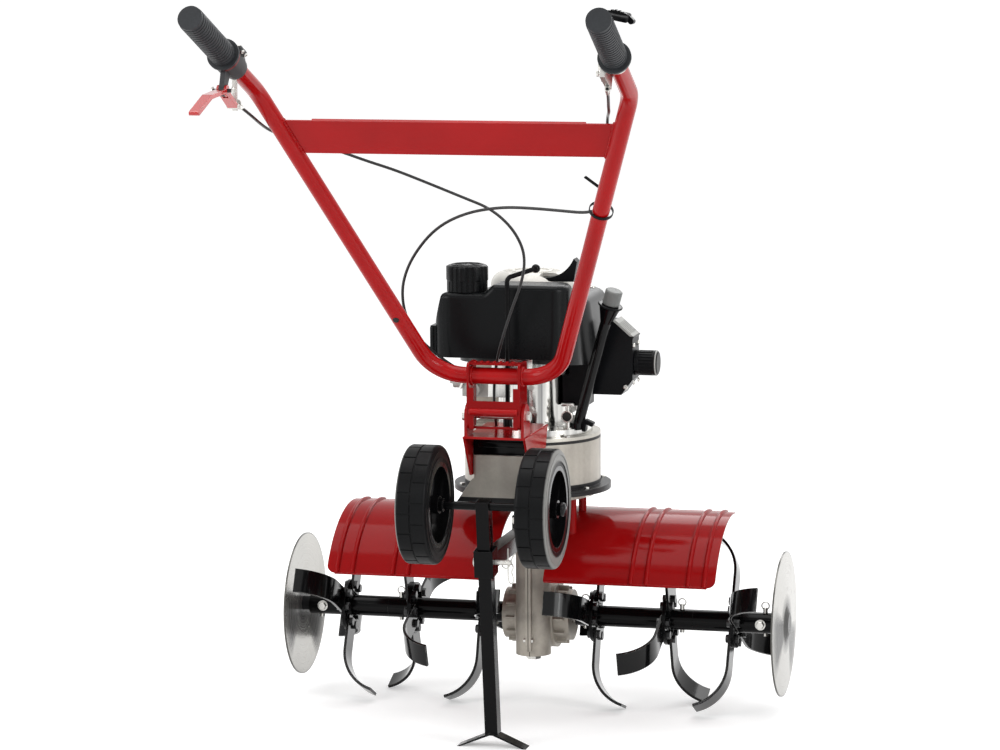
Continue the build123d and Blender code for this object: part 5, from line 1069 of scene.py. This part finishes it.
def frame_details():
    with detail("clutch_grommet", "chassis", "rubber", seal_rubber) as shape:
        grommet = [(2.7, 0), (7.5, 0), (7.5, 2.4), (5.2, 3.4), (4.4, 9), (2.7, 10), (2.7, 0)]
        turned(shape, grommet, (-31, -184, 486), (0, -0.05, 1), 28)

    # Painted shade: a thin black sheet across the dark gap between the frame plate and the block top.
    with detail("painted_shade_sheet", "chassis", "black_paint", black_paint) as shape:
        slab(shape, (97, 3, 34), (0, -282, 503.5), edge=1.0)
        slab(shape, (80, 3.4, 10), (0, -283, 505), edge=1.4)

    with detail("holder_bolts", "chassis", "steel", plated_steel) as shape:
        for x in SIDES:
            for z in SIDES:
                hex_head(shape, 10, 6.4, (19 * x, -104, 324 + 19 * z), BACK)

    with detail("lock_clip", "chassis", "steel", plated_steel, 60.0) as shape:
        bends = [
            (38, 348), (38, 330), (38, 312), (38, 297), (41, 288), (47, 290),
            (47, 300), (43, 308), (48, 316), (43, 324), (45, 333), (50, 340),
        ]
        wire(shape, [(x, -393, z) for x, z in bends], 1.3)

    # Painted shade: the lips take the darker red, like the hood.
    with detail("hood_lips", "chassis", "red_paint", painted_shade_red) as shape:
        for side in SIDES:
            for turn in (61.5, -12):
                angle = math.radians(turn)
                back, rise = HOOD_RADIUS * math.sin(angle), HOOD_RADIUS * math.cos(angle)
                foot = (45 * side, -back, AXLE_HEIGHT + rise)
                lip = [(0, 0), (1.6, 0), (2.3, 1), (2.3, 285), (1.6, 286), (0, 286)]
                turned(shape, lip, foot, (side, 0, 0), 20)


def wheel_details():
    for side, body in ((-1, "wheel_left"), (1, "wheel_right")):
        with detail(body + "_ribs", body, "tyre", tyre_rubber) as shape:
            for face, way in ((WHEEL_FACE, 1), (75, -1)):
                hub = (face * side, WHEEL_BACK, WHEEL_HEIGHT)
                for radius in (78, 90):
                    ring(shape, radius, radius + 2.6, -0.8, 0.9, hub, (way * side, 0, 0), 0.4, 72)
    with detail("hub_caps", "spur", "black_plastic", rim_plastic) as shape:
        for side in SIDES:
            cap = [(0, -1), (12, -1), (12, 2.4), (10, 5), (5.5, 6.8), (0, 7.4)]
            turned(shape, cap, (133.5 * side, WHEEL_BACK, WHEEL_HEIGHT), (side, 0, 0), 36)


def rotor_details():
    with detail("flange_welds", "rotor", "black_paint", black_paint, 60.0) as shape:
        for x in (100, 231, 352):
            for side in SIDES:
                for face in SIDES:
                    foot = (side * x + face * 3, 0, AXLE_HEIGHT)
                    weld = [(18.2, -0.5), (22.4, -0.5), (20.6, 1.2), (18.2, 4), (18.2, -0.5)]
                    turned(shape, weld, foot, (face, 0, 0), 40)

    with detail("disc_bolts", "rotor", "steel", plated_steel) as shape:
        for side in SIDES:
            for face in SIDES:
                hex_head(shape, 13, 7.5, (398 * side, 17.6 * face, AXLE_HEIGHT), (0, face, 0))


frame_details()
wheel_details()
rotor_details()


# Floor, backdrop and light

FLOOR_HALF = 70.0
WHITE = (1, 1, 1, 1)
# The floor's glow, the reach over which it grows, and the world's light on the pieces and in view
FLOOR_GLOW = (0.3, 0.62)
GLOW_REACH = (0.3, 2.2)
WORLD_LIGHT = (0.5, 1.0)


def seen_directly(tree):
    """1 where the camera or a mirror-like surface looks straight at a surface."""
    path = tree.nodes.new("ShaderNodeLightPath").outputs
    first = math_node(tree, "MAXIMUM", path["Is Camera Ray"], path["Is Glossy Ray"])
    return math_node(tree, "MAXIMUM", first, path["Is Transmission Ray"])


def make_floor():
    """A pale floor that brightens to white away from the machine."""
    material, tree, skin = start_material("floor", 0.1)
    tone = tone_clouds(tree, 2.0, 30.0, 0.2)
    pale = blend_colour(tree, tone["Tone"], (0.8, 0.8, 0.8, 1), (0.82, 0.82, 0.82, 1))
    feed(tree, skin, "Base Color", pale)
    feed(tree, skin, "Roughness", 0.9)
    feed(tree, skin, "Emission Color", WHITE)
    reach = put(tree, "ShaderNodeVectorMath", _0=own_place(tree))
    reach.operation = "LENGTH"
    glow = span(tree, reach.outputs["Value"], *GLOW_REACH, *FLOOR_GLOW)
    feed(tree, skin, "Emission Strength", times(tree, seen_directly(tree), glow))
    mesh = bpy.data.meshes.new("floor")
    corners = [(x * FLOOR_HALF, y * FLOOR_HALF, 0) for x, y in ((-1, -1), (1, -1), (1, 1), (-1, 1))]
    mesh.from_pydata(corners, [], [(0, 1, 2, 3)])
    mesh.materials.append(material)
    floor = bpy.data.objects.new("floor", mesh)
    scene.collection.objects.link(floor)


def make_world():
    world = bpy.data.worlds.new("studio")
    scene.world = world
    world.use_nodes = True
    tree = world.node_tree
    ground = tree.nodes["Background"]
    strength = span(tree, seen_directly(tree), 0.0, 1.0, *WORLD_LIGHT)
    feed(tree, ground, "Color", WHITE)
    feed(tree, ground, "Strength", strength)


def soft_box(name, place, aim, size, power):
    lamp = bpy.data.lights.new(name, "AREA")
    lamp.shape = "RECTANGLE"
    lamp.size, lamp.size_y = size
    lamp.energy = power
    holder = bpy.data.objects.new(name, lamp)
    scene.collection.objects.link(holder)
    holder.location = place
    holder.rotation_mode = "QUATERNION"
    holder.rotation_quaternion = (Vector(aim) - Vector(place)).to_track_quat("-Z", "Y")


make_floor()
make_world()
soft_box("top_light", (0.0, 0.2, 3.6), (0, 0.1, 0.4), (3.0, 2.4), 60)
soft_box("left_light", (-2.8, -2.6, 2.0), (0, 0.1, 0.6), (1.6, 2.2), 55)
soft_box("right_light", (3.2, -1.4, 1.7), (0, 0.2, 0.5), (1.4, 2.2), 40)
soft_box("back_light", (0.6, 3.2, 2.6), (0, 0.2, 0.5), (2.6, 1.6), 40)
soft_box("left_strip", (-2.6, -0.9, 1.7), (0, 0.1, 0.7), (0.03, 2.4), 9)
soft_box("right_strip", (2.6, -1.0, 1.6), (0, 0.1, 0.7), (0.03, 2.4), 9)
soft_box("rear_strip", (0.0, -2.6, 2.3), (0, 0.1, 0.4), (3.4, 0.03), 7)
scene.view_settings.view_transform = "Standard"
